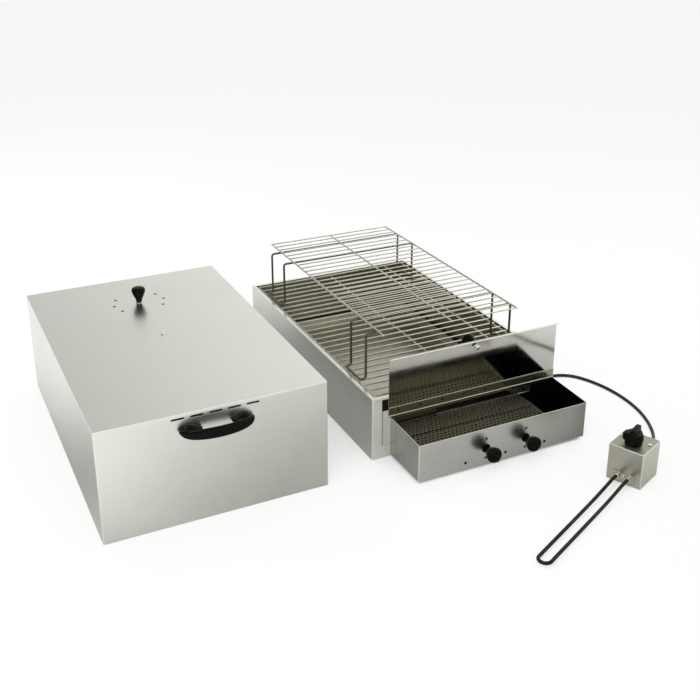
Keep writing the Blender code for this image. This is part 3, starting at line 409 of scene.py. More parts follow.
class Finish:
    def __init__(self, name, world=None):
        self.material = world or bpy.data.materials.new(name)
        self.material.use_nodes = True
        self.tree = self.material.node_tree
        self.tree.nodes.clear()
        self.outKind = "ShaderNodeOutputWorld" if world else "ShaderNodeOutputMaterial"
        self.place = self.add("ShaderNodeTexCoord", out="Generated" if world else "Object")

    # the one way to any node: its type, its settings, then the values or links of its sockets
    def add(self, kind, settings=None, sockets=None, out=0):
        node = self.tree.nodes.new(kind)
        for key, value in (settings or {}).items():
            if key == "stops":
                ramp = node.color_ramp
                while len(ramp.elements) < len(value):
                    ramp.elements.new(0.5)
                for element, (position, colour) in zip(ramp.elements, value):
                    element.position = position
                    element.color = colour if hasattr(colour, "__len__") else (colour,) * 3 + (1,)
            else:
                setattr(node, key, value)
        for key, value in (sockets or {}).items():
            if isinstance(value, Reading):
                self.tree.links.new(value.socket, node.inputs[key])
            elif value is not None:
                node.inputs[key].default_value = value
        return Reading(self, node.outputs[out])

    def noise(self, where, scale, detail=3.0, rough=0.5, warp=0.0):
        return self.add("ShaderNodeTexNoise", {}, {
            "Vector": where, "Scale": scale, "Detail": detail, "Roughness": rough, "Distortion": warp})

    def stretched(self, where, scale, turn=0.0, shift=(0, 0, 0)):
        return self.add("ShaderNodeMapping", {}, {
            "Vector": where, "Location": shift, "Rotation": (0, 0, turn), "Scale": scale})

    def ramp(self, value, stops):
        return self.add("ShaderNodeValToRGB", {"stops": stops}, {"Fac": value})

    def part(self, vector, axis):
        return self.add("ShaderNodeSeparateXYZ", {}, {0: vector}, out=axis)

    def distance(self, spot):
        return self.add("ShaderNodeVectorMath", {"operation": "DISTANCE"}, {0: self.place, 1: spot}, out=1)

    def ray(self, kind):
        return self.add("ShaderNodeLightPath", out=f"Is {kind} Ray")

    def colours(self, share, first, second):
        return self.add("ShaderNodeMix", {"data_type": "RGBA"}, {0: share, 6: first, 7: second}, out=2)

    def bump(self, height, strength, distance, under=None):
        return self.add("ShaderNodeBump", {}, {
            "Height": height, "Strength": strength, "Distance": distance, "Normal": under})

    def close(self, **sockets):
        names = {"colour": "Base Color", "metal": "Metallic", "rough": "Roughness", "normal": "Normal",
                 "coat": "Coat Weight", "coatRough": "Coat Roughness", "specular": "Specular IOR Level"}
        self.finishWith(self.add("ShaderNodeBsdfPrincipled", {}, {names[k]: v for k, v in sockets.items()}))
        return self.material

    def finishWith(self, shader):
        node = self.tree.nodes.new(self.outKind)
        self.tree.links.new(shader.socket, node.inputs["Surface"])


def rgb(red, green, blue):
    # a colour written as it shows on screen, turned to the shader's linear light
    part = np.array([red, green, blue]) / 255
    linear = np.where(part <= 0.04045, part / 12.92, ((part + 0.055) / 1.055) ** 2.4)
    return (*linear.tolist(), 1.0)


def shade(tone, share):
    # the tone made darker or paler
    return tuple(min(1.0, part * share) for part in tone[:3]) + (1,)


def brushedSteel(name, tone, rough=0.30, grain=0.5, cloud=0.06, turn=0.0, ways=(1, 2, 0), soot=0.0,
                 heat=None, upper=None, flank=None, crease=None, seam=None, foldWearAndHighlight=0.75, dull=0.0):
    # satin sheet: fine lines along one way of each face, drawn by noise squeezed across it, over
    # slow clouds in tone and sheen. ways: the axis of the lines on faces across X, Y and Z. heat:
    # a painted shade along X: where the steel starts to darken, where it ends, how much is lost and
    # how late. upper, flank: painted shade, the share of the colour kept on faces that look up or
    # along X. crease: the Y of a painted shade line along a fold; seam: the X of a dark joint line.
    # foldWearAndHighlight: how pale the folds are, wear with a painted highlight on it. dull: how
    # pale and matt faces that look forward are, a painted light on them
    f = Finish(name)
    here = f.stretched(f.place, (1, 1, 1), turn)
    facing = f.add("ShaderNodeMapping", {"vector_type": "VECTOR"}, {
        "Vector": f.add("ShaderNodeNewGeometry", out="Normal"), "Rotation": (0, 0, turn)})
    looks = [abs(f.part(facing, axis)) for axis in range(3)]
    fine, slow = 900.0, 9.0
    drawn = [f.noise(f.stretched(here, [slow if axis == way else fine for axis in range(3)]), 1.0, 2.0, 0.65)
             for way in ways]
    lines = drawn[0]
    for axis in (1, 2):
        mask = looks[axis] > 0.7
        lines = lines * (1 - mask) + drawn[axis] * mask
    clouds = f.noise(here, 5.5, 4.0, 0.55, 0.4)
    smudge = f.noise(f.stretched(here, (1, 1, 1), 0, (3.1, 1.7, 0.4)), 22.0, 5.0, 0.6, 0.8)
    share = 0.62 + (lines - 0.5) * grain * 0.55 + (clouds - 0.5) * cloud * 6 + (smudge - 0.5) * cloud * 1.6
    colour = f.colours(share.limited(), shade(tone, 0.72), shade(tone, 1.10))
    sheen = rough + (lines - 0.5) * 0.16 + (clouds - 0.5) * 0.22 + (smudge - 0.5) * 0.08
    metal = 1.0
    # painted shade: faces that look up are darkened and made rougher
    if upper:
        mask = (looks[2] > 0.7) * (1 - upper)
        colour = f.colours(mask, colour, rgb(40, 38, 26))
        sheen = sheen + mask * 0.5
    # painted shade: faces that look along X are darkened
    if flank:
        colour = f.colours((looks[0] > 0.7) * (1 - flank), colour, rgb(40, 38, 26))
    # painted shade: the steel darkens along X, late and deep towards its end
    if heat:
        start, end, lost, power = heat
        along = ((f.part(f.place, 0) - start) / (end - start)).limited()
        late = along ** power + (clouds - 0.5) * 0.2 * along
        colour = f.colours((late * lost).limited(), colour, rgb(36, 34, 18))
    # seam: a dark joint line; crease: a painted shade line along the fold
    for axis, at, half, edge, dark, ink in ((0, seam, 0.0016, 3.0, 0.92, rgb(16, 16, 12)),
                                            (1, crease, 0.0030, 2.5, 0.95, rgb(12, 12, 8))):
        if at is not None:
            line = ((1 - abs(f.part(f.place, axis) - at) / half) * edge).limited()
            colour = f.colours(line * dark, colour, ink)
    if soot:
        flakes = (f.noise(here, 30.0, 6.0, 0.7) * 1.4 - 0.2).limited()
        colour = f.colours(flakes * soot, colour, rgb(34, 30, 22))
    # the folds made paler and less metal: wear, with a painted highlight on it
    if foldWearAndHighlight:
        square = looks[0].atLeast(looks[1]).atLeast(looks[2])
        fold = ((0.985 - square) / 0.02).limited() * foldWearAndHighlight
        colour = f.colours(fold, colour, rgb(240, 239, 230))
        metal = (metal - fold * 0.55).limited()
    # painted light: faces that look forward are made pale and matt
    if dull:
        front = (0 - f.part(facing, 1) > 0.9) * dull
        colour = f.colours(front, colour, rgb(238, 237, 229))
        metal = (metal - front).limited()
    normal = f.bump(lines, 0.10 * grain, 0.0004)
    return f.close(colour=colour, metal=metal, rough=sheen.limited(), normal=normal)


def polishedSteel(name, tone, rough=0.07, wave=0.3, smear=0.5, sootAndShade=None, lean=0.0):
    # mill-bright sheet: nearly a mirror, slightly wavy, with wiped streaks and faint spots;
    # sootAndShade is (middle along X, half width, front edge, depth) of an area darkened nearly to
    # black by soot and a painted shade, lean the slope by which a sheet bent forward turns what it
    # mirrors downwards
    f = Finish(name)
    long = f.noise(f.stretched(f.place, (3, 40, 160)), 1.0, 3.0, 0.6)
    smudge = f.noise(f.place, 16.0, 6.0, 0.62, 1.2)
    spots = f.ramp(f.noise(f.place, 260.0, 3.0, 0.5), [(0.66, 0.0), (0.74, 1.0)])
    share = (0.85 - (smudge - 0.4) * smear * 0.5 + (long - 0.5) * 0.25 - spots * 0.08).limited()
    colour = f.colours(share, shade(tone, 0.66), tone)
    sheen = (rough + (smudge - 0.42) * 0.20 * smear + (long - 0.5) * 0.08 + spots * 0.08).limited()
    # soot and a painted shade: the area is darkened nearly to black
    if sootAndShade:
        middleX, halfWide, frontY, deepY = sootAndShade
        across = ((1 - abs(f.part(f.place, 0) - middleX) / halfWide) * 3.0).limited()
        soot = across * (1 - (f.part(f.place, 1) - frontY) / deepY).limited()
        soot = (soot * (1.5 + (smudge - 0.5) * 0.6)).limited()
        colour = f.colours(soot, colour, rgb(20, 18, 13))
        sheen = (sheen + soot * 0.35).limited()
    normal = f.bump(f.noise(f.stretched(f.place, (1, 1, 1.6)), 8.5, 1.5, 0.45), wave, 0.006)
    normal = f.bump(long, 0.04, 0.0004, normal)
    if lean:
        normal = f.bump(f.part(f.place, 2) * lean, 1.0, 1.0, normal)
    return f.close(colour=colour, metal=1.0, rough=sheen, normal=normal)


def wireSteel(name, tone, rough, tarnish):
    # drawn wire: long die marks, weld heat and fat left as brown patches
    f = Finish(name)
    marks = f.noise(f.place, 900.0, 2.0, 0.6)
    patches = f.noise(f.place, 34.0, 5.0, 0.65, 0.6)
    share = (0.75 + (marks - 0.5) * 0.5 - (patches - 0.45) * tarnish * 2.2).limited()
    colour = f.colours(share, shade(tone, 0.42), tone)
    sheen = (rough + (patches - 0.45) * 0.5 + (marks - 0.5) * 0.12).limited()
    return f.close(colour=colour, metal=1.0, rough=sheen, normal=f.bump(marks, 0.12, 0.0003))


def mouldedBlack(name, tone, rough):
    # pressed phenolic: deep gloss, the faintest pebble and dust, duller where hands wear it
    f = Finish(name)
    pores = f.noise(f.place, 1400.0, 3.0, 0.6)
    wear = f.noise(f.place, 60.0, 5.0, 0.6, 0.5)
    dust = f.ramp(f.noise(f.place, 2600.0, 2.0, 0.5), [(0.68, 0.0), (0.76, 1.0)])
    colour = f.colours((0.4 + (wear - 0.5) * 0.9).limited(), tone, shade(tone, 1.9))
    colour = f.colours(dust * 0.10, colour, rgb(120, 118, 112))
    sheen = (rough + (wear - 0.45) * 0.26 + dust * 0.15).limited()
    normal = f.bump(pores, 0.05, 0.0003, f.bump(f.noise(f.place, 90.0, 2.0), 0.05, 0.002))
    return f.close(colour=colour, metal=0.0, rough=sheen, normal=normal, coat=0.03, coatRough=0.06,
                   specular=0.07)


def softRubber(name, tone, rough):
    # black rubber: fine grain under a grey bloom in patches
    f = Finish(name)
    grainy = f.noise(f.place, 1100.0, 4.0, 0.7)
    bloom = f.noise(f.place, 45.0, 4.0, 0.6, 0.4)
    share = (0.3 + (bloom - 0.5) * 1.1 + (grainy - 0.5) * 0.3).limited()
    colour = f.colours(share, tone, shade(tone, 2.4))
    sheen = (rough + (grainy - 0.5) * 0.2 + (bloom - 0.5) * 0.25).limited()
    return f.close(colour=colour, metal=0.0, rough=sheen, normal=f.bump(grainy, 0.20, 0.0004))


def firedSheath(name, tone):
    # a heater's sheath after use: oxide brown to blue black, dull, with scale
    f = Finish(name)
    scale = f.noise(f.place, 420.0, 5.0, 0.7)
    bands = f.noise(f.place, 18.0, 3.0, 0.6, 1.0)
    colour = f.ramp((bands + (scale - 0.5) * 0.35).limited(), [
        (0.30, rgb(30, 29, 27)), (0.50, tone), (0.64, rgb(60, 52, 42)), (0.80, rgb(42, 43, 46))])
    sheen = (0.34 + (scale - 0.5) * 0.35 + (bands - 0.5) * 0.2).limited()
    return f.close(colour=colour, metal=0.85, rough=sheen, normal=f.bump(scale, 0.25, 0.0005))


def platedSteel(name, tone, rough):
    # turned and plated: the faintest tool marks, dulled in patches
    f = Finish(name)
    turning = f.noise(f.place, 1700.0, 2.0, 0.5)
    dull = f.noise(f.place, 130.0, 4.0, 0.6)
    colour = f.colours((0.8 - (dull - 0.5) * 0.9).limited(), shade(tone, 0.6), tone)
    sheen = (rough + (dull - 0.5) * 0.28 + (turning - 0.5) * 0.10).limited()
    return f.close(colour=colour, metal=1.0, rough=sheen, normal=f.bump(turning, 0.08, 0.0003))


def mouldedCream(name, tone):
    # matt moulding, aged unevenly
    f = Finish(name)
    pores = f.noise(f.place, 900.0, 4.0, 0.6)
    ageing = f.noise(f.place, 40.0, 4.0, 0.6)
    colour = f.colours((ageing + (pores - 0.5) * 0.2).limited(), shade(tone, 0.8), tone)
    return f.close(colour=colour, metal=0.0, rough=(0.5 + (pores - 0.5) * 0.2).limited(),
                   normal=f.bump(pores, 0.12, 0.0003))


# The igniter stands turned: its own frame, which its brushing, lead and heater share
igniterSet = {"corner": (0.168, -0.5905), "turn": -66.7, "width": 0.0725, "depth": 0.0735,
              "height": 0.0765, "lowEdge": 0.0018, "fold": 0.0016}
igniterTurn = math.radians(igniterSet["turn"])
awayFromFace = np.array([-math.sin(igniterTurn), math.cos(igniterTurn), 0])
igniterFrame = np.stack([[math.cos(igniterTurn), math.sin(igniterTurn), 0], awayFromFace, [0, 0, 1]])


def onIgniter(points):
    # from along the face, away from it and height to the row frame
    return np.asarray(points, float) @ igniterFrame + np.array([*igniterSet["corner"], 0])


toneSet = {
    "satin": (229, 230, 222), "bright": (236, 235, 226), "wire": (226, 224, 208),
    "standWire": (122, 119, 96), "sootAndShade": (136, 132, 112), "plated": (236, 236, 230),
    "black": (7, 7, 6), "rubber": (17, 17, 16), "cord": (14, 14, 12), "sheath": (40, 38, 31),
    "cream": (206, 199, 180), "inside": (74, 70, 56), "inner": (172, 169, 152),
    "igniter": (204, 203, 188), "hidden": (150, 147, 130), "tray": (94, 90, 71),
    "drip": (214, 212, 198), "leaf": (182, 179, 158), "rivet": (52, 38, 26),
}
toneSet = {name: rgb(*tone) for name, tone in toneSet.items()}
hoodSteel = brushedSteel("hoodSteel", toneSet["satin"], rough=0.30, grain=0.28, cloud=0.035, ways=(1, 0, 1))
# painted light: the front faces of the base and of its plate are made pale and matt
baseSteel = brushedSteel("baseSteel", toneSet["satin"], rough=0.24, grain=0.35, ways=(2, 0, 1), dull=0.72)
plateSteel = brushedSteel("plateSteel", toneSet["satin"], rough=0.24, grain=0.35, ways=(2, 2, 1),
                          dull=0.62, seam=-0.1960)
# painted shade: the firebox darker on its flanks and towards its right end, inside and out
fireboxSteel = brushedSteel("fireboxSteel", toneSet["satin"], rough=0.27, grain=0.35, ways=(1, 0, 0),
                            heat=(-0.16, 0.24, 0.72, 4), flank=0.66)
sootySteel = brushedSteel("sootySteel", toneSet["inside"], rough=0.46, ways=(1, 0, 0), soot=0.9, foldWearAndHighlight=0)
fireboxInside = brushedSteel("fireboxInside", toneSet["sootAndShade"], rough=0.40, ways=(1, 0, 0), soot=0.35,
                             heat=(-0.10, 0.02, 0.93, 2), foldWearAndHighlight=0)
baseInside = brushedSteel("baseInside", toneSet["inner"], rough=0.42, ways=(1, 0, 0), soot=0.35, foldWearAndHighlight=0)
# painted shade on the igniter's top
igniterSteel = brushedSteel("igniterSteel", toneSet["igniter"], rough=0.29, grain=0.35, turn=-igniterTurn,
                            upper=0.66)
innerSteel = brushedSteel("innerSteel", toneSet["hidden"], rough=0.40, grain=0.4)
# the tray: a painted shade towards its right end and a painted shade line along its fold
smokedSteel = brushedSteel("smokedSteel", toneSet["tray"], rough=0.40, cloud=0.09, soot=0.35,
                           crease=-0.4035, heat=(-0.06, 0.10, 0.55, 2))
# the drip tray's floor darkened in front by soot and a painted shade
traySteel = polishedSteel("traySteel", toneSet["drip"], rough=0.30, wave=0.30, smear=0.9,
                          sootAndShade=(0.045, 0.19, -0.128, 0.035))
flapSteel = polishedSteel("flapSteel", toneSet["bright"], rough=0.09, wave=0.05, lean=0.108)
hingeSteel = polishedSteel("hingeSteel", toneSet["leaf"], rough=0.26, wave=0.1, smear=0.8)
rackWire = wireSteel("rackWire", toneSet["wire"], rough=0.20, tarnish=0.16)
gridWire = wireSteel("gridWire", toneSet["wire"], rough=0.28, tarnish=0.20)
standWire = wireSteel("standWire", toneSet["standWire"], rough=0.34, tarnish=0.25)
platedFinish = platedSteel("platedFinish", toneSet["plated"], rough=0.14)
rivetFinish = platedSteel("rivetFinish", toneSet["rivet"], rough=0.35)
blackPhenolic = mouldedBlack("blackPhenolic", toneSet["black"], rough=0.12)
dialPhenolic = mouldedBlack("dialPhenolic", toneSet["black"], rough=0.17)
footRubber = softRubber("footRubber", toneSet["rubber"], rough=0.45)
cordRubber = softRubber("cordRubber", toneSet["cord"], rough=0.42)
plugRubber = softRubber("plugRubber", toneSet["rubber"], rough=0.50)
heaterSheath = firedSheath("heaterSheath", toneSet["sheath"])
creamMoulding = mouldedCream("creamMoulding", toneSet["cream"])
print("finishes made")


# Lead: out of the case, over the floor, then wound beside the base in two flat layers
cordSet = {"diameter": 0.007, "exitHeight": 0.0200, "exitInside": 0.0036, "lay": 0.0041,
           "origin": (0.220, 0.336, 0), "turns": 2.4444, "radius": 0.0455, "centre": (0.276, -0.151),
           "spacing": 0.0076, "tail": 0.052}
plugSet = {"radius": 0.0135, "length": 0.042, "pinRadius": 0.0022, "pinLength": 0.019, "pinSpacing": 0.019,
           "gap": 0.0003}
cordRoute = np.array([
    (0.5120, -0.2385, 0.0150), (0.5430, -0.2150, 0.0064), (0.5740, -0.1820, 0.0041),
    (0.5900, -0.1590, 0.0041), (0.6070, -0.1260, 0.0041), (0.6200, -0.0890, 0.0041),
    (0.6280, -0.0480, 0.0041), (0.6300, -0.0040, 0.0041), (0.6250, 0.0420, 0.0041),
    (0.6120, 0.0850, 0.0041), (0.5930, 0.1170, 0.0041), (0.5680, 0.1340, 0.0041),
    (0.5430, 0.1390, 0.0041)]) - cordSet["origin"]
thick, lay, spacing, windings = (cordSet[key] for key in ("diameter", "lay", "spacing", "turns"))
leave = onIgniter([igniterSet["width"] / 2, igniterSet["depth"] - cordSet["exitInside"],
                   cordSet["exitHeight"]])
straight = leave + np.array([0, 1.5, 3])[:, None] * awayFromFace * thick
coilX, coilY = cordSet["centre"]
coilStart = np.array([coilX + thick, coilY - cordSet["radius"], lay])
arrive = coilStart + np.array([3, 1.5, 0])[:, None] * np.array([thick, 0, 0])
leadLine = smoothThrough(np.vstack([straight, cordRoute, arrive]), 64)

# the coil spirals in, climbs in the half turn that reverses it, and spirals out on the layer above
layerTurn = 2 * math.pi * windings
coilTurn = np.linspace(0, 2 * layerTurn + math.pi, 190)
perTurn = spacing / (2 * math.pi)
innerRadius = cordSet["radius"] - spacing * windings
past = coilTurn - layerTurn
dip = np.clip(np.minimum(past, math.pi - past), 0, None)
coilRadius = np.where(past <= 0, cordSet["radius"] - perTurn * coilTurn, innerRadius - perTurn * dip)
coilRadius = np.where(past > math.pi, innerRadius + perTurn * (past - math.pi), coilRadius)
coilRise = np.clip(past / math.pi, 0, 1) * spacing
coilLine = np.stack([coilX - coilRadius * np.sin(coilTurn), coilY - coilRadius * np.cos(coilTurn),
                     lay + coilRise], 1)

# the tail runs straight on and rises to the plug's middle
tailWay = np.array([-math.cos(coilTurn[-1]), math.sin(coilTurn[-1]), 0])
tailShare = np.array([0.1, 0.3, 0.5, 0.7, 0.9, 1.0])
tailRise = plugSet["radius"] + 0.0005 - lay - spacing
tailLine = coilLine[-1] + tailShare[:, None] * tailWay * cordSet["tail"]
tailLine[:, 2] += tailRise * np.clip((tailShare - 0.1) / 0.8, 0, 1)
cordLine = np.vstack([leadLine, coilLine[1:], tailLine])
cordCurve = bpy.data.curves.new("powerCord", "CURVE")
cordCurve.dimensions = "3D"
cordCurve.bevel_depth = thick / 2
cordCurve.bevel_resolution = 5
cordCurve.use_fill_caps = True
cordSpline = cordCurve.splines.new("POLY")
cordSpline.points.add(len(cordLine) - 1)
cordSpline.points.foreach_set("co", np.column_stack([cordLine, np.ones(len(cordLine))]).ravel())
cordSpline.use_smooth = True
cordCurve.materials.append(cordRubber)
powerCord = bpy.data.objects.new("powerCord", cordCurve)
scene.collection.objects.link(powerCord)
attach(powerCord, "base")
declare(powerCord, "cord_rubber", "mains_cord", "mains_coil")

# Plug: round moulded body with a ribbed neck and two pins with round noses
plugStart = cordLine[-1] + tailWay * plugSet["gap"]
neckHeight = np.repeat(np.linspace(0.02, 0.30, 6), 4) + np.tile([0, 0.0108, 0.0252, 0.036], 6)
neckRadius = thick * (0.60 + 0.16 * neckHeight / 0.34) + np.tile([-0.0007, 0.0004, 0.0004, -0.0007], 6)
# (radius, share of the length), from the neck to the face that carries the pins
bodyKnots = np.array([(0.0072, 0.355), (0.0098, 0.38), (0.0124, 0.42), (0.0134, 0.48), (0.0135, 0.60),
                      (0.0128, 0.68), (0.0128, 0.74), (0.0135, 0.80), (0.0135, 0.955), (0.0131, 0.99),
                      (0.0122, 1.0), (0.004, 1.0), (0.0, 1.0)])
plugProfile = np.vstack([[(0, 0)], np.stack([neckRadius, neckHeight], 1), bodyKnots])
plugProfile[:, 1] *= plugSet["length"]
plugBody = turnedPiece("plugBody", plugProfile, plugStart, tailWay, 48, plugRubber, "base", 50,
                       "black_rubber", "plug_body")
turnIn = np.linspace(0, math.pi / 2, 6)
nose = np.stack([plugSet["pinRadius"] * np.cos(turnIn),
                 plugSet["pinLength"] - plugSet["pinRadius"] * (1 - np.sin(turnIn))], 1)
pinProfile = np.vstack([[(0, 0), (plugSet["pinRadius"], 0)], nose])
plugSide = np.cross(tailWay, [0, 0, 1]) * plugSet["pinSpacing"] / 2
for side, way in bothSides:
    pinStart = plugStart + tailWay * (plugSet["length"] + plugSet["gap"]) + plugSide * way
    turnedPiece("plugPin." + side, pinProfile, pinStart, tailWay, 24, platedFinish,
                                "base", 38, "plated_fixings", "plug_pin_" + side)


# Hood: a folded shell with a hem, five slots in front and the vent's holes on top
hoodSet = {"fold": 0.0020, "corner": 0.0026, "hem": 0.007, "lid": 0.014,
           "slots": 5, "slotPitch": 0.0352, "slotLength": 0.025, "slotHeight": 0.0038, "slotZ": 0.2165,
           "ventCircle": 0.0555, "ventHole": 0.0075, "ventTurn": 35.8, "ventFromFront": 0.524}
sheet, screwHole, upright = 0.0012, 0.0026, (0, 0, 1)
hoodLow, hoodHigh = np.array(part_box("hood_shell"))
hoodTop, hem, lid = hoodHigh[2], hoodSet["hem"], hoodSet["lid"]
hoodMiddle = (hoodLow[0] + hoodHigh[0]) / 2
ventPlace = np.array([hoodMiddle, hoodLow[1] + hoodSet["ventFromFront"], hoodTop])
rivetPlace = np.array([hoodMiddle, (hoodLow[1] + hoodHigh[1]) / 2, hoodTop])


def foldedPan(name, node, finishes, body, corners, radii, corner, levels, cutters, slopes=None):
    # a pan of sheet where the node stands: its section, rounded at each fold, carried round the
    # node's outline; the outer skin takes the first finish and what lies inside it the second
    low, high = np.array(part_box(node))
    section = filleted(corners, radii)
    tilt = slopes(section) if slopes else 0
    points, faces = panShape(low, high, section, corner, slopes=tilt)
    pan = meshPiece(name, points, faces, finishes, body,
                    faceFinish=insideOf(points, faces, low, high, *levels, sheet))
    declare(cutOut(pan, cutters), "brushed_sheet", node)


def slotShape(middle, length, height, depth):
    # a rounded slot's outline in X and Z, pushed through the front wall
    turn = np.linspace(-math.pi / 2, math.pi / 2, 7)
    right = np.stack([length / 2 - height / 2 + np.cos(turn) * height / 2, np.sin(turn) * height / 2], 1)
    outline = np.vstack([right, -right])
    rings = [np.insert(outline, 1, y, axis=1) for y in (-depth, depth)]
    return (np.stack(rings) + middle).reshape(-1, 3), panFaces(2, len(outline))


def drill(radius, place, axis=upright, sides=24):
    # a short rod through the sheet, which cuts a round hole
    return revolved([(radius, -0.005), (radius, 0.005)], place, axis, sides)


hoodCuts = [slotShape([hoodMiddle + (i - (hoodSet["slots"] - 1) / 2) * hoodSet["slotPitch"], hoodLow[1],
                       hoodSet["slotZ"]], hoodSet["slotLength"], hoodSet["slotHeight"], 0.004)
            for i in range(hoodSet["slots"])]
for turn in np.radians([start + k * hoodSet["ventTurn"] for start in (0, 180) for k in (-1, 0, 1)]):
    hole = ventPlace + hoodSet["ventCircle"] * np.array([math.cos(turn), math.sin(turn), 0])
    hoodCuts.append(drill(hoodSet["ventHole"] / 2, hole, sides=28))
hoodCuts += [drill(screwHole, ventPlace, sides=20), drill(screwHole, rivetPlace, sides=20)]
foldedPan("hoodShell", "hood_shell", [hoodSteel, sootySteel], "hood",
          [(lid, hoodTop), (0, hoodTop), (0, 0), (hem, 0), (hem, sheet), (sheet, sheet),
           (sheet, hoodTop - sheet), (lid, hoodTop - sheet)],
          [0.001, hoodSet["fold"], 0.0005, 0.0003, 0.0003, 0.0003, 0.0009, 0.001],
          hoodSet["corner"], (0, hoodTop), hoodCuts)

# Turned knobs: one profile for the vent, the two dampers and the flap, each over a thin collar;
# the dampers' knobs are a little wider and their collars black
knobSet = {"radius": 0.015, "airRadius": 0.016, "length": 0.036, "neck": 0.0060, "collar": 1.2,
           "airCollar": 1.55}


def knobProfile(radius):
    # knots of (share of the radius, share of the length), joined by a smooth curve from neck to crown
    neck = knobSet["neck"] / radius
    knots = np.array([(neck, 0.0), (neck * 1.02, 0.05), (neck * 1.12, 0.12), (0.50, 0.24),
                      (0.66, 0.38), (0.82, 0.53), (0.94, 0.67), (1.0, 0.78), (0.985, 0.865),
                      (0.90, 0.935), (0.72, 0.975), (0.42, 0.995), (0.0, 1.0)])
    profile = np.vstack([[(0, 0)], knots[:1], smoothThrough(knots, 46)[1:]])
    profile[-1, 0] = 0
    return profile * (radius, knobSet["length"])


for name, node, body, axis in (("hoodVentKnob", "hood_vent_knob", "hood_vent", upright),
                               ("airKnob.left", "air_knob_left", "air_left", (0, -1, 0)),
                               ("airKnob.right", "air_knob_right", "air_right", (0, -1, 0)),
                               ("flapKnob", "flap_knob", "flap", (0, 1, 0))):
    low, high = np.array(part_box(node))
    place = (low + high) / 2
    place[1] = high[1] if axis[1] < 0 else low[1]
    if node == "hood_vent_knob":
        place = ventPlace + (0, 0, 0.0003)
    air = "air" in name
    turnedPiece(name, knobProfile(knobSet["airRadius" if air else "radius"]), place, axis, 64,
                blackPhenolic, body, 50, "black_phenolic", node)
    wide = knobSet["neck"] * knobSet["airCollar" if air else "collar"]
    collar = [(0.0, 0.0002), (wide, 0.0002), (wide * 1.03, 0.0006), (wide * 0.97, 0.0012),
              (wide * 0.75, 0.0016)]
    finish, slotName = (blackPhenolic, "black_phenolic") if air else (platedFinish, "plated_fixings")
    turnedPiece(name + ".collar", collar, place, axis, 32, finish, body, 50, slotName)

# Washer under the flap knob's screw, and the screw in the middle of the hood's top, a small dome
washerPlace = np.array(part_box("flap_knob_screw")).mean(0)
washerPlace[1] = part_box("flap_panel")[0][1]
washerProfile = [(0.0, 0.0002), (0.0048, 0.0002), (0.0050, 0.0006), (0.0046, 0.0010), (0.0, 0.0010)]
domeProfile = [(0.0, -0.0032), (0.003, -0.0032), (0.003, -0.002), (0.0018, -0.002), (0.0018, 0.0003),
               (0.0032, 0.0004), (0.0031, 0.0017), (0.0024, 0.0033), (0.0012, 0.0042), (0.0, 0.0044)]
turnedPiece("flapWasher", washerProfile, washerPlace, (0, -1, 0), 32, platedFinish, "flap", 50,
            "plated_fixings")
turnedPiece("hoodRivet", domeProfile, rivetPlace, upright, 32, platedFinish, "hood", 45,
            "plated_fixings", "hood_centre_rivet")

# Bow handle: a rounded section carried along a bow, broad in the middle with three low ribs on
# its outer side, on two round feet that are drawn out towards each other
handleSet = {"length": 0.138, "reach": 0.038, "z": 0.192, "sag": 0.001, "thick": 0.013, "foot": 0.022,
             "band": 0.021, "stations": 61, "sides": 56}
handleBack = hoodLow[1] - 0.0003  # just clear of the hood's front
swing = (np.linspace(0, 1, handleSet["stations"]) - 0.5) * math.pi
bow = np.cos(swing).clip(0) ** 0.8
bowLine = np.stack([hoodMiddle + handleSet["length"] / 2 * np.sin(swing) * 0.92,
                    handleBack - handleSet["thick"] * 0.32 - bow * (handleSet["reach"] - handleSet["thick"]),
                    handleSet["z"] - handleSet["sag"] * bow], 1)
ahead = unit(np.gradient(bowLine, axis=0))
outSide = unit(np.cross(ahead, upright))
riseSide = unit(np.cross(outSide, ahead))
spread = handleSet["thick"] * (0.42 + 0.30 * (1 - bow) ** 2) * 0.8
tall = handleSet["band"] / 2 * (0.34 + 0.70 * bow ** 0.6)
around = np.linspace(0, 2 * math.pi, handleSet["sides"], endpoint=False)
ribbed = 1 + 0.10 * np.exp(-((around - math.pi) / 1.2) ** 2) * np.cos(5.5 * (around - math.pi))
across = np.sign(np.cos(around)) * np.abs(np.cos(around)) ** 0.8 * ribbed
upward = np.sign(np.sin(around)) * np.abs(np.sin(around)) ** 0.9
handlePoints = bowLine[:, None] + across[None, :, None] * (spread[:, None] * outSide)[:, None] \
    + upward[None, :, None] * (tall[:, None] * riseSide)[:, None]
handlePoints[..., 1] = np.minimum(handlePoints[..., 1], handleBack)
bowHandle = meshPiece("bowHandle", handlePoints, panFaces(handleSet["stations"], handleSet["sides"]),
                      blackPhenolic, "hood", 60)
declare(bowHandle, "black_phenolic", "hood_handle")
padProfile = [(0, 0), (0.0096, 0), (0.0104, 0.0010), (0.0106, 0.0040), (0.0102, 0.0080), (0.0092, 0.0120),
              (0.0074, 0.0158), (0.0046, 0.0182), (0, 0.0190)]
for side, way in bothSides:
    padPlace = np.array([hoodMiddle + way * (handleSet["length"] / 2 - handleSet["foot"] * 0.86),
                         handleBack, handleSet["z"] + 0.0004])
    padPoints, padFaces = revolved(padProfile, (0, 0, 0), (0, -1, 0), 48)
    inward = np.clip(-way * padPoints[:, 0] / 0.0106, 0, 1)
    padPoints[:, 0] *= 1.62 + 0.55 * inward
    padPoints[:, 2] *= 1.0 - 0.22 * inward
    pad = meshPiece("handleFoot." + side, padPoints + padPlace, padFaces, blackPhenolic, "hood", 60)
    declare(pad, "black_phenolic")
print("hood made")


def boxShape(low, high):
    # the eight corners between two opposite ones
    (x0, y0, z0), (x1, y1, z1) = low, high
    points = np.array([(x, y, z) for x in (x0, x1) for y in (y0, y1) for z in (z0, z1)])
    return points, [[0, 1, 3, 2], [4, 6, 7, 5], [0, 4, 5, 1], [2, 3, 7, 6], [0, 2, 6, 4], [1, 5, 7, 3]]


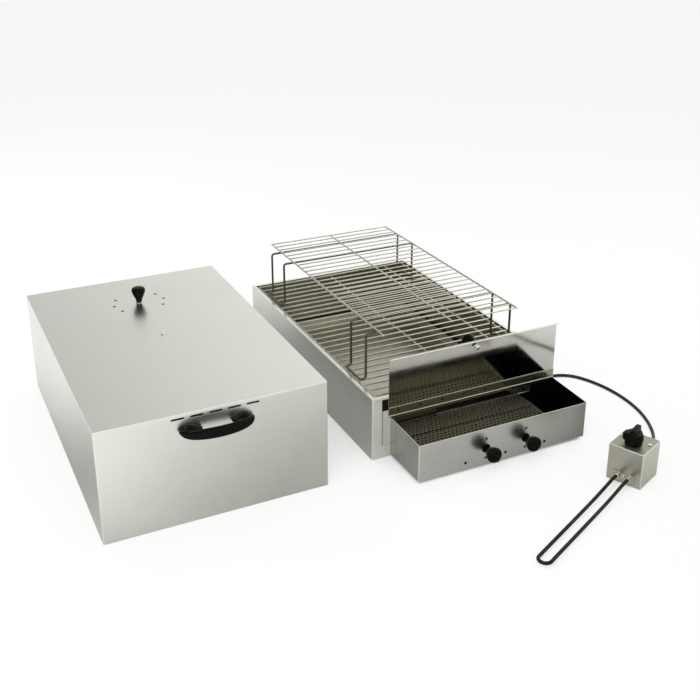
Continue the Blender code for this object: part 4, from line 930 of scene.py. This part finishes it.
# Base: a folded tub with a rim turned in and a window through its front wall
baseSet = {"fold": 0.0012, "corner": 0.0022, "rim": 0.008, "floorRing": 0.03, "windowSide": 0.022,
           "windowZ": (0.028, 0.1325)}
tubLow, tubHigh = np.array(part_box("base_tub"))
tubTop, rim, ring = tubHigh[2], baseSet["rim"], baseSet["floorRing"]
frontWindow = boxShape((tubLow[0] + baseSet["windowSide"], tubLow[1] - 0.004, baseSet["windowZ"][0]),
                       (tubHigh[0] - baseSet["windowSide"], tubLow[1] + 0.004, baseSet["windowZ"][1]))
foldedPan("baseTub", "base_tub", [baseSteel, baseInside], "base",
          [(ring, 0), (0, 0), (0, tubTop), (rim, tubTop), (rim, tubTop - sheet), (sheet, tubTop - sheet),
           (sheet, sheet), (ring, sheet)],
          [0.001, 0.0012, baseSet["fold"], 0.0004, 0.0004, 0.0003, 0.0006, 0.001],
          baseSet["corner"], (0, tubTop), [frontWindow])

# Firebox: a folded box whose rim rises to the back, with air holes and the smoke's window
fireboxSet = {"floor": 0.0065, "frontTop": 0.0865, "backTop": 0.0910, "corner": 0.0020, "floorRing": 0.01,
              "window": (0.27, 0.85), "windowZ": (0.0705, 0.0860)}
airSet = {"hole": 0.0066, "lowZ": 0.0205, "highZ": 0.0635, "knobZ": 0.042,
          "lowShares": (0.2691, 0.3867, 0.5056, 0.6245, 0.7447), "knobShares": (0.3867, 0.6245)}
fireLow, fireHigh = np.array(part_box("firebox_body"))
fireWidth = fireHigh[0] - fireLow[0]
floorZ, wallTop, ring = fireboxSet["floor"], fireboxSet["frontTop"], fireboxSet["floorRing"]


def rimSlopes(section):
    # only the rim's own points climb towards the back
    climb = (fireboxSet["backTop"] - wallTop) / (fireHigh[1] - fireLow[1])
    return np.where(np.abs(section[:, 1] - wallTop) < 0.0006, climb, 0)


def smokeWindow(front, back):
    # the smoke's way from firebox to base, as a block from front to back along Y
    left, right = (fireLow[0] + fireWidth * share for share in fireboxSet["window"])
    low, high = fireboxSet["windowZ"]
    return boxShape((left, front, low), (right, back, high))


fireCuts = []
for shares, z, radius in ((airSet["lowShares"], airSet["lowZ"], airSet["hole"] / 2),
                          (airSet["knobShares"], airSet["highZ"], airSet["hole"] / 2),
                          (airSet["knobShares"], airSet["knobZ"], screwHole)):
    fireCuts += [drill(radius, (fireLow[0] + fireWidth * share, fireLow[1], z), (0, 1, 0))
                 for share in shares]
fireCuts.append(smokeWindow(fireHigh[1] - 0.008, fireHigh[1] + 0.008))
foldedPan("firebox", "firebox_body", [fireboxSteel, fireboxInside], "base",
          [(ring, floorZ), (0, floorZ), (0, wallTop), (sheet, wallTop), (sheet, floorZ + sheet),
           (ring, floorZ + sheet)],
          [0.001, 0.0016, 0.0004, 0.0004, 0.0008, 0.001],
          fireboxSet["corner"], (floorZ, 1), fireCuts, rimSlopes)

# Perforated tray: tiles, each a rectangle round a hole, in rows about 0.866 of the pitch apart and
# shifted by half a pitch, laid over a section that rises to a ridge and falls to the back
perfSet = {"pitch": 0.0089, "hole": 0.0060, "border": 0.004, "ridge": 0.47, "rise": 0.002, "sheet": 0.0010,
           "wall": 0.0011, "holeSides": 16}
trayLow, trayHigh = np.array(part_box("sawdust_tray"))
trayWidth, trayDepth = (trayHigh - trayLow)[:2]
ridgeY, ridgeZ = trayLow[1] + trayDepth * perfSet["ridge"], trayHigh[2]
edgeZ = ridgeZ - perfSet["rise"]
pitch, border, hole = perfSet["pitch"], perfSet["border"], perfSet["hole"] / 2
tileCount = int((trayWidth - 2 * border) / pitch - 0.5)
rowCount = 2 * int((trayDepth - 2 * border) / (pitch * 0.866) / 2)
rowHeight = (trayDepth - 2 * border) / rowCount
firstX = (trayWidth - (tileCount + 0.5) * pitch) / 2
tile, row = (a.ravel() for a in np.meshgrid(np.arange(tileCount), np.arange(rowCount), indexing="xy"))
middleU = (firstX + (tile + 0.5 + 0.5 * (row % 2)) * pitch)[:, None]
middleV = (border + (row + 0.5) * rowHeight)[:, None]
rimTurn = np.array([(1, 0), (1, 1), (0, 1), (-1, 1), (-1, 0), (-1, -1), (0, -1), (1, -1)])
holeTurn = np.linspace(0, 2 * math.pi, perfSet["holeSides"], endpoint=False)
outer = np.stack([middleU + rimTurn[:, 0] * pitch / 2, middleV + rimTurn[:, 1] * rowHeight / 2], -1)
inner = np.stack([middleU + np.cos(holeTurn) * hole, middleV + np.sin(holeTurn) * hole], -1)
flatUV = [np.concatenate([outer, inner], 1).reshape(-1, 2)]
k = np.arange(8)
# a tile's eight rim points and sixteen hole points make eight faces of five corners
pentagon = np.stack([k, (k + 1) % 8, 8 + (2 * k + 2) % 16, 8 + 2 * k + 1, 8 + 2 * k], 1)
tileFaces = (pentagon[None] + (np.arange(len(tile)) * 24)[:, None, None]).reshape(-1, 5).tolist()

# strips beside each row, then before the first row and behind the last, meeting the tiles' corners
outlines = []
for r in range(rowCount):
    v0, v1 = border + r * rowHeight, border + (r + 1) * rowHeight
    vm, left = (v0 + v1) / 2, firstX + (0.5 * pitch if r % 2 else 0)
    right = left + tileCount * pitch
    if r % 2:
        outlines += [[(0, v0), (firstX, v0), (left, v0), (left, vm), (left, v1), (firstX, v1), (0, v1)],
                     [(trayWidth, v1), (right, v1), (right, vm), (right, v0), (trayWidth, v0)]]
    else:
        outlines += [[(0, v0), (left, v0), (left, vm), (left, v1), (0, v1)],
                     [(trayWidth, v1), (right + pitch / 2, v1), (right, v1), (right, vm), (right, v0),
                      (right + pitch / 2, v0), (trayWidth, v0)]]
edge = [0.0] + [firstX + pitch * 0.5 * i for i in range(2 * tileCount + 2)] + [trayWidth]
for inside, outside in ((border, 0.0), (border + rowCount * rowHeight, trayDepth)):
    outlines.append([(u, inside) for u in edge] + [(trayWidth, outside), (0, outside)])
start = len(flatUV[0])
for outline in outlines:
    flatUV.append(np.array(outline))
    tileFaces.append(list(range(start, start + len(outline))))
    start += len(outline)
overX, overY = (np.vstack(flatUV) + trayLow[:2]).T
overZ = np.interp(overY, [trayLow[1], ridgeY, trayHigh[1]], [edgeZ, ridgeZ, edgeZ])
perforatedTop = meshPiece("perforatedTop", np.stack([overX, overY, overZ], 1), tileFaces, smokedSteel,
                          "sawdust_tray", 20, merge=2e-6)
thicken = perforatedTop.modifiers.new("sheet", "SOLIDIFY")
thicken.thickness = perfSet["sheet"]
thicken.offset = -1
declare(bakeModifiers(perforatedTop, 20), "perforated_sheet", "sawdust_tray")
for name, y0, y1 in (("trayWall.front", trayLow[1], trayLow[1] + perfSet["wall"]),
                     ("trayWall.back", trayHigh[1] - perfSet["wall"], trayHigh[1])):
    wall = boxShape((trayLow[0], y0, trayLow[2]), (trayHigh[0], y1, edgeZ - 0.0006))
    declare(meshPiece(name, *wall, smokedSteel, "sawdust_tray"), "perforated_sheet")
print("base and firebox made:", tileCount * rowCount, "holes in the tray")


def wireMesh(name, node, finish, low, high, rodX, wires, sides, bead):
    # wires along X, a pitch apart between low and high, on rods along Y, a bead of weld at each
    # crossing; wires is (wire, rod, heights of wire, rod and bead, pitch, wander of wire and rod)
    wire, rod, wireZ, rodZ, beadZ, pitch, wander, rodWander = wires
    rows = int((high[1] - low[1]) / pitch) + 1
    rowY = low[1] + (high[1] - low[1] - (rows - 1) * pitch) / 2 + np.arange(rows) * pitch
    wireStart = np.stack([np.full(rows, low[0]), rowY, np.full(rows, wireZ)], 1)
    rodStart = np.stack([rodX, np.full(len(rodX), low[1]), np.full(len(rodX), rodZ)], 1)
    meetX, meetY = (a.ravel() for a in np.meshgrid(rodX, rowY))
    shapes = [wireBundle(wireStart, wireStart + (high[0] - low[0], 0, 0), wire, sides, 11, wander),
              wireBundle(rodStart, rodStart + (0, high[1] - low[1], 0), rod, 12, 16, rodWander),
              beads(np.stack([meetX, meetY, np.full(meetX.shape, beadZ)], 1), bead)]
    declare(meshPiece(name, *gathered(shapes), finish, node, 60), "drawn_wire", node)


# Lower grid: hangs in the tub's mouth
gridSet = {"margin": 0.010, "wire": 0.0042, "rod": 0.005, "weld": 0.0012, "pitch": 0.0245,
           "rods": (0.0318, 0.4818, 0.8477, 0.9682), "wander": 0.00025}
crossZ = tubTop - gridSet["wire"] / 2
rodZ = tubTop - gridSet["wire"] - gridSet["rod"] / 2 + gridSet["weld"]
wireMesh("lowerGrid", "lower_grid", gridWire, tubLow + gridSet["margin"], tubHigh - gridSet["margin"],
         tubLow[0] + (tubHigh[0] - tubLow[0]) * np.array(gridSet["rods"]),
         (gridSet["wire"], gridSet["rod"], crossZ, rodZ, (crossZ + rodZ) / 2, gridSet["pitch"],
          gridSet["wander"], gridSet["wander"]), 12, (0.0034, 0.0034, 0.0017))

# Upper rack: thinner wire, three rods
rackSet = {"wire": 0.0028, "rod": 0.004, "pitch": 0.0231, "wander": 0.0004}
rackLow, rackHigh = np.array(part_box("upper_rack"))
rackRod = rackSet["rod"]
crossZ = rackLow[2] + rackRod - rackSet["wire"] / 2 - rackSet["wire"] / 8
wireMesh("upperRack", "upper_rack", rackWire, rackLow, rackHigh,
         np.array([rackLow[0] + rackRod / 2, (rackLow[0] + rackHigh[0]) / 2, rackHigh[0] - rackRod / 2]),
         (rackSet["wire"], rackRod, crossZ, rackLow[2] + rackRod / 2, crossZ - 0.0006, rackSet["pitch"],
          rackSet["wander"], rackSet["wander"] / 2), 10, (0.0026, 0.0022, 0.0013))

# Stands: one wire each, bent to two bridges joined by a foot loop at either side
standSet = {"wire": 0.005, "bend": 0.006, "foot": 0.013}
for name, node in (("frontStand", "front_stand"), ("rearStand", "rear_stand")):
    low, high = np.array(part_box(node))
    half, reach = standSet["wire"] / 2, standSet["foot"]
    left, right = low[0] + half + reach, high[0] - half - reach
    near, far, foot, bridge = low[1] + half, high[1] - half, low[2] + half, high[2] - half
    loop = [(left, near, foot), (left, near, bridge), (right, near, bridge), (right, near, foot),
            (right + reach, near, foot), (right + reach, far, foot), (right, far, foot), (right, far, bridge),
            (left, far, bridge), (left, far, foot), (left - reach, far, foot), (left - reach, near, foot)]
    bent = filleted(loop, standSet["bend"], 8, closed=True)
    declare(meshPiece(name, *sweptTube(bent, half, 16, closed=True), standWire, node, 70), "drawn_wire", node)
print("grids, rack and stands made")


# Flap, hinge and small parts: the solids' own shapes, some with rounded edges
foldedParts = {
    "flap_panel": ("flapPanel", flapSteel, "flap", 0.0004, "bright_sheet"),
    "flap_hinge_leaf": ("hingeLeaf.flap", hingeSteel, "flap", 0.0, "bright_sheet"),
    "firebox_hinge_leaf": ("hingeLeaf.firebox", hingeSteel, "base", 0.0, "bright_sheet"),
    "drip_tray": ("dripTray", traySteel, "drip_tray", 0.0, "bright_sheet"),
    "grid_rail_left": ("gridRail.left", innerSteel, "base", 0.0003, "brushed_sheet"),
    "grid_rail_right": ("gridRail.right", innerSteel, "base", 0.0003, "brushed_sheet"),
    "air_damper_left": ("airDamper.left", innerSteel, "air_left", 0.0, "brushed_sheet"),
    "air_damper_right": ("airDamper.right", innerSteel, "air_right", 0.0, "brushed_sheet"),
    "hood_vent_damper": ("ventDamper", innerSteel, "hood_vent", 0.0, "brushed_sheet"),
    "heater_flange": ("heaterFlange", igniterSteel, "base", 0.0003, "plated_fixings"),
    "gland_nut_left": ("glandNut.left", platedFinish, "base", 0.0004, "plated_fixings"),
    "gland_nut_right": ("glandNut.right", platedFinish, "base", 0.0004, "plated_fixings"),
    "igniter_base_plate": ("igniterFloor", innerSteel, "base", 0.0003, "brushed_sheet"),
    "regulator_body": ("regulator", creamMoulding, "base", 0.0004, "moulded_cream"),
    "terminal_block": ("terminals", creamMoulding, "base", 0.0004, "moulded_cream"),
}
for node, (name, finish, body, fold, slotName) in foldedParts.items():
    piece = foldedCopy(node, name, finish, body, fold)
    if node == "drip_tray":
        # its outside stands in the smoke and is black
        trayMesh = piece.data
        trayMesh.materials.append(sootySteel)
        normals, centres = np.zeros((2, len(trayMesh.polygons) * 3))
        trayMesh.polygons.foreach_get("normal", normals)
        trayMesh.polygons.foreach_get("center", centres)
        normals, centres = normals.reshape(-1, 3), centres.reshape(-1, 3)
        outward = (normals[:, :2] * (centres[:, :2] - centres[:, :2].mean(0))).sum(1) > 0.03
        outside = outward & (abs(normals[:, 2]) < 0.5)
        trayMesh.polygons.foreach_set("material_index", outside.astype(np.int32))

# Mount plate: closes the base's window round the firebox, a hair narrower than its solid
plateSet = {"gap": 0.0004, "backSkin": 0.0002}
plateLow, plateHigh = np.array(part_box("firebox_mount_plate"))
plate = boxShape(plateLow + (plateSet["gap"], 0, 0), plateHigh - (plateSet["gap"], 0, 0))
plateBack = plateHigh[1] - plateSet["backSkin"]
mountPlate = meshPiece("mountPlate", *plate, [plateSteel, sootySteel], "base",
                       faceFinish=[int(plate[0][face].mean(0)[1] > plateBack) for face in plate[1]])
cutOut(mountPlate, [smokeWindow(plateLow[1] - 0.006, plateHigh[1] + 0.006)])
declare(mountPlate, "brushed_sheet", "firebox_mount_plate")

# Rivets: flat domes along the flap's leaf
rivetSet = {"count": 8, "endGap": 0.022, "height": 0.1047, "radius": 0.0026, "leafFront": -0.3388}
leafLow, leafHigh = np.array(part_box("flap_hinge_leaf"))
radius = rivetSet["radius"]
rivetX = np.linspace(leafLow[0] + rivetSet["endGap"], leafHigh[0] - rivetSet["endGap"], rivetSet["count"])
domes = [revolved([(0, 0), (radius, 0), (radius * 0.94, 0.0009), (radius * 0.6, 0.0018), (0, 0.0021)],
                  (x, rivetSet["leafFront"], rivetSet["height"]), (0, -1, 0), 20) for x in rivetX]
leafRivets = meshPiece("leafRivets", *gathered(domes), rivetFinish, "flap", 50)
declare(leafRivets, "plated_fixings")

# Pin, screws and spindle keep their solids and get a better finish
for node in ("hinge_pin", "firebox_foot_screw", "flap_knob_screw", "handle_screw_left", "handle_screw_right",
             "dial_spindle", "flange_screw", "igniter_screw_left", "igniter_screw_right"):
    for materialSlot in cadNodes[node].material_slots:
        materialSlot.material = platedFinish
print("flap, hinge and small parts made")


# Igniter: a folded case, open below, with holes for the dial, the lead, the heater and two screws
heaterSet = {"rod": 0.0068, "spacing": 0.024, "reach": 0.323, "tipLift": 0.0035, "drift": 0.010, "z": 0.0154}
caseTop, lowEdge, ring = igniterSet["height"], igniterSet["lowEdge"], 0.010
middle = igniterSet["width"] / 2
caseSection = filleted(
    [(ring, caseTop), (0, caseTop), (0, lowEdge), (sheet, lowEdge), (sheet, caseTop - sheet),
     (ring, caseTop - sheet)],
    [0.001, igniterSet["fold"], 0.0004, 0.0004, 0.0006, 0.001])
casePoints, caseFaces = panShape((0, 0), (igniterSet["width"], igniterSet["depth"]), caseSection, 0.0017, 5)
igniterCase = meshPiece("igniterCase", onIgniter(casePoints), caseFaces, igniterSteel, "base")
dialPlace = onIgniter([middle, igniterSet["depth"] * 0.40, caseTop])
cordExit = onIgniter([middle, igniterSet["depth"], cordSet["exitHeight"]])
caseCuts = [drill(0.004, dialPlace, sides=20), drill(0.0056, cordExit, awayFromFace)]
for side, way in bothSides:
    heaterExit = onIgniter([middle + way * heaterSet["spacing"] / 2, 0, heaterSet["z"]])
    caseCuts.append(drill(0.004, heaterExit, awayFromFace, 20))
for share in (0.10, 0.88):
    screwPlace = onIgniter([igniterSet["width"] * share, igniterSet["depth"] * 0.60, caseTop])
    caseCuts.append(drill(screwHole, screwPlace, sides=16))
declare(cutOut(igniterCase, caseCuts), "brushed_sheet", "igniter_case")

# Dial: a round skirt, above it a grip whose outline swells in three lobes, and a pointer bar whose
# sides lean in to a flat top, both ends cut at a slant
dialSet = {"grip": 0.0195, "turn": 28, "lobes": 3, "sides": 96, "barFoot": 0.0150}
skirtProfile = [(0, 0.0003), (0.0168, 0.0003), (0.0170, 0.0010), (0.0169, 0.0060), (0.0163, 0.0080),
                (0.0150, 0.0092), (0.0140, 0.0120), (0, 0.0120)]
pointer, dialSides, barFoot = math.radians(dialSet["turn"]), dialSet["sides"], dialSet["barFoot"]
around = np.linspace(0, 2 * math.pi, dialSides, endpoint=False)
swell = np.cos(dialSet["lobes"] * (around - pointer)) / 7.5
share, height = np.array([(0.70, 0.0086), (0.88, 0.0092), (0.97, 0.0105), (1.0, 0.0130), (1.0, 0.0195),
                          (0.98, 0.0217), (0.93, 0.0234), (0.86, 0.0242), (0.60, 0.0244), (0.30, 0.0245),
                          (0.0, 0.0245)]).T[..., None]
grip = share * dialSet["grip"] * (1 + swell * share ** 2)
gripPoints = np.stack([grip * np.cos(around), grip * np.sin(around), height + 0 * grip], -1).reshape(-1, 3)
gripFaces = gridQuads(len(share), dialSides).tolist() + [list(range(dialSides))]
barLine = np.array([-0.0190, -0.0185, -0.0165, -0.012, -0.006, 0.0, 0.008, 0.016, 0.0215, 0.0240, 0.0246])
barWide = np.array([0.0030, 0.0050, 0.0066, 0.0072, 0.0074, 0.0074, 0.0072, 0.0068, 0.0062, 0.0054, 0.0036])
barTop = np.array([0.0240, 0.0266, 0.0298, 0.0314, 0.0319, 0.0321, 0.0322, 0.0322, 0.0319, 0.0306, 0.0252])
barSide = np.array([-1.0, -1.02, -0.88, -0.72, -0.64, -0.50, 0.50, 0.64, 0.72, 0.88, 1.02, 1.0])
barLevel = np.array([0.0, 0.10, 0.55, 0.93, 0.985, 1.0, 1.0, 0.985, 0.93, 0.55, 0.10, 0.0])
bar = np.stack([np.broadcast_to(barLine[:, None], (len(barLine), len(barSide))), barWide[:, None] * barSide,
                barFoot + (barTop[:, None] - barFoot) * barLevel], -1)
turned = np.array([[math.cos(pointer), math.sin(pointer), 0], [-math.sin(pointer), math.cos(pointer), 0],
                   upright])
bar = bar.reshape(-1, 3) @ turned + dialPlace
dialShapes = [revolved(skirtProfile, dialPlace, upright, 72), (gripPoints + dialPlace, gripFaces),
              (bar, panFaces(len(barLine), len(barSide)))]
declare(meshPiece("dialKnob", *gathered(dialShapes), dialPhenolic, "dial", 42), "black_phenolic", "dial_knob")

# Heater: one rod bent to a hairpin, which drifts sideways and comes down to the floor at its tip
half, far = heaterSet["spacing"] / 2, -heaterSet["reach"] + heaterSet["spacing"] / 2
caseZ, tipZ = heaterSet["z"], heaterSet["tipLift"] + heaterSet["rod"] / 2
tipX = middle + heaterSet["drift"]
bend = np.linspace(0, math.pi, 31)
arc = np.stack([tipX - half * np.cos(bend), far - half * np.sin(bend), np.full(31, tipZ)], 1)
fromCase = smoothThrough([(middle - half, 0.0191, caseZ), (middle - half, -0.021, caseZ),
                          (middle - half + heaterSet["drift"] * 0.35, far * 0.35, (caseZ + tipZ) / 2),
                          (tipX - half, far, tipZ)], 70)
heaterLine = np.vstack([fromCase[:-1], arc, (fromCase[::-1] + (2 * half, 0, 0))[1:]])
heaterTube = sweptTube(onIgniter(heaterLine), heaterSet["rod"] / 2, 20)
declare(meshPiece("heaterRod", *heaterTube, heaterSheath, "base", 60), "heater_sheath", "heater_element")

# Bushing round the lead and foot under the firebox, both soft rubber
bushingProfile = [(0, -0.0030), (0.0052, -0.0030), (0.0052, 0.0003), (0.0069, 0.0003), (0.0070, 0.0014),
                  (0.0064, 0.0026), (0.0056, 0.0030), (0.0054, 0.0056), (0.0050, 0.0060), (0, 0.0060)]
turnedPiece("cordBushing", bushingProfile, cordExit, awayFromFace, 40, plugRubber, "base", 45,
            "black_rubber", "cord_bushing")
footLow, footHigh = np.array(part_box("firebox_foot"))
turnedPiece("fireboxFoot", [(0, 0), (0.0088, 0), (0.0098, 0.0004), (0.0104, 0.0013), (0.0105, 0.0024),
                            (0.0102, 0.0052), (0.0099, 0.0062), (0, 0.0062)],
            [*((footLow + footHigh) / 2)[:2], footLow[2]], upright, 48, footRubber, "base", 45,
            "black_rubber", "firebox_foot")
print("igniter made")


# Floor: the camera sees it glow white; what metal mirrors of it is darker near the pieces and grows
# paler outwards, with four wide spots, each (place, reach, change), where it departs from that
stageSet = {"floor": 9.0, "floorTone": 0.80, "glow": 1.06, "glowShare": 0.80, "ambient": 0.50,
            "middle": (-0.1, -0.1, 0.0), "dark": 0.45, "near": 0.42, "growth": 1.45, "most": 1.12,
            "rightLoss": 0.18,
            "spots": [((-0.92, -0.16, 0), 0.36, -0.66), ((-0.70, -0.66, 0), 0.30, 0.22),
                      ((-0.34, -0.46, 0), 0.25, 0.20), ((0.43, -0.66, 0), 0.24, 0.35)], "mirrorShare": 0.80,
            "window": (0.95, 1.4, 0.95), "windowLeast": 0.42,
            "boxWay": (0.45, -0.49, 0.746), "boxEdge": 0.84, "boxLevel": 0.2}
floorMesh = bpy.data.meshes.new("floor")
span = stageSet["floor"]
floorMesh.from_pydata([(-span, -span, 0), (span, -span, 0), (span, span, 0), (-span, span, 0)], [],
                      [(0, 1, 2, 3)])
floor = bpy.data.objects.new("floor", floorMesh)
scene.collection.objects.link(floor)
f = Finish("floorPaper")
tone = stageSet["floorTone"]
paper = f.add("ShaderNodeBsdfDiffuse", {}, {"Color": (tone, tone, tone * 0.985, 1)})
glow = f.add("ShaderNodeEmission", {}, {"Color": (1, 1, 1, 1), "Strength": stageSet["glow"]})
# the paper's glow fades where something stands over it, so a box is dark inside
openness = f.add("ShaderNodeAmbientOcclusion", {"samples": 8}, {"Distance": 0.5}, out="AO")
openness = f.part(f.ramp(openness, [(0.04, 0.0), (0.42, 0.86), (0.80, 1.0)]), 0)
seen = f.ray("Camera") * openness * stageSet["glowShare"]
shown = f.add("ShaderNodeMixShader", {}, {0: seen, 1: paper, 2: glow})
level = stageSet["near"] + (f.distance(stageSet["middle"]) - stageSet["dark"]) * stageSet["growth"]
level = level.atLeast(stageSet["near"]).atMost(stageSet["most"])
level = level * (1 - ((f.part(f.place, 0) + 0.1) / 0.5).limited() * stageSet["rightLoss"])
for spot, reach, change in stageSet["spots"]:
    level = level * (1 + (1 - f.distance(spot) / reach).limited() * change)
level = level * (0.30 + openness * 0.70)
mirroredTone = f.add("ShaderNodeCombineXYZ", {}, {0: level, 1: level, 2: level * 0.985})
mirroredFloor = f.add("ShaderNodeEmission", {}, {"Color": mirroredTone, "Strength": 1.0})
f.finishWith(f.add("ShaderNodeMixShader", {}, {0: f.ray("Glossy") * stageSet["mirrorShare"], 1: shown,
                                               2: mirroredFloor}))
floorMesh.materials.append(f.material)

# Room: white where the camera looks past the floor; what the metal mirrors grows paler to the
# right and darker overhead, like a studio with one long window, and has one soft box
scene.world = bpy.data.worlds.new("studio")
w = Finish("studio", scene.world)
direct = (w.ray("Camera") + w.ray("Transmission")).limited()
mirrored = w.ray("Glossy")
base, toRight, overhead = stageSet["window"]
window = base + w.part(w.place, 0) * toRight - abs(w.part(w.place, 2)) * overhead
window = window.atLeast(stageSet["windowLeast"]).atMost(stageSet["most"])
toward = w.add("ShaderNodeVectorMath", {"operation": "DOT_PRODUCT"}, {0: w.place, 1: stageSet["boxWay"]},
               out=1)
softBox = ((toward - stageSet["boxEdge"]) / (1 - stageSet["boxEdge"])).limited()
window = window + softBox * stageSet["boxLevel"]
strength = (stageSet["ambient"] * (1 - mirrored) + window * mirrored) * (1 - direct) + direct
w.finishWith(w.add("ShaderNodeBackground", {}, {"Color": (1.0, 1.0, 0.99, 1), "Strength": strength}))

# Lamps: only the key lamp shows in the metal
lampSet = {
    "keyLamp": {"place": (-1.30, -1.25, 1.60), "at": (-1.05, -0.95, 0.0), "size": (1.1, 1.1), "power": 17},
    "backLamp": {"place": (-0.95, 1.45, 1.60), "at": (-0.85, 1.15, 0.0), "size": (1.3, 1.1), "power": 17},
    "sideLamp": {"place": (1.30, 0.10, 1.70), "at": (0.90, 0.0, 0.0), "size": (1.2, 1.2), "power": 10},
}
for name, lamp in lampSet.items():
    light = bpy.data.lights.new(name, "AREA")
    light.shape = "RECTANGLE"
    light.size, light.size_y = lamp["size"]
    light.energy = lamp["power"]
    lampObject = bpy.data.objects.new(name, light)
    scene.collection.objects.link(lampObject)
    lampObject.location = lamp["place"]
    lampObject.visible_glossy = name == "keyLamp"
    aim = Vector(lamp["at"]) - Vector(lamp["place"])
    lampObject.rotation_euler = aim.to_track_quat("-Z", "Y").to_euler()
scene.view_settings.view_transform = "Standard"

print("stage made")
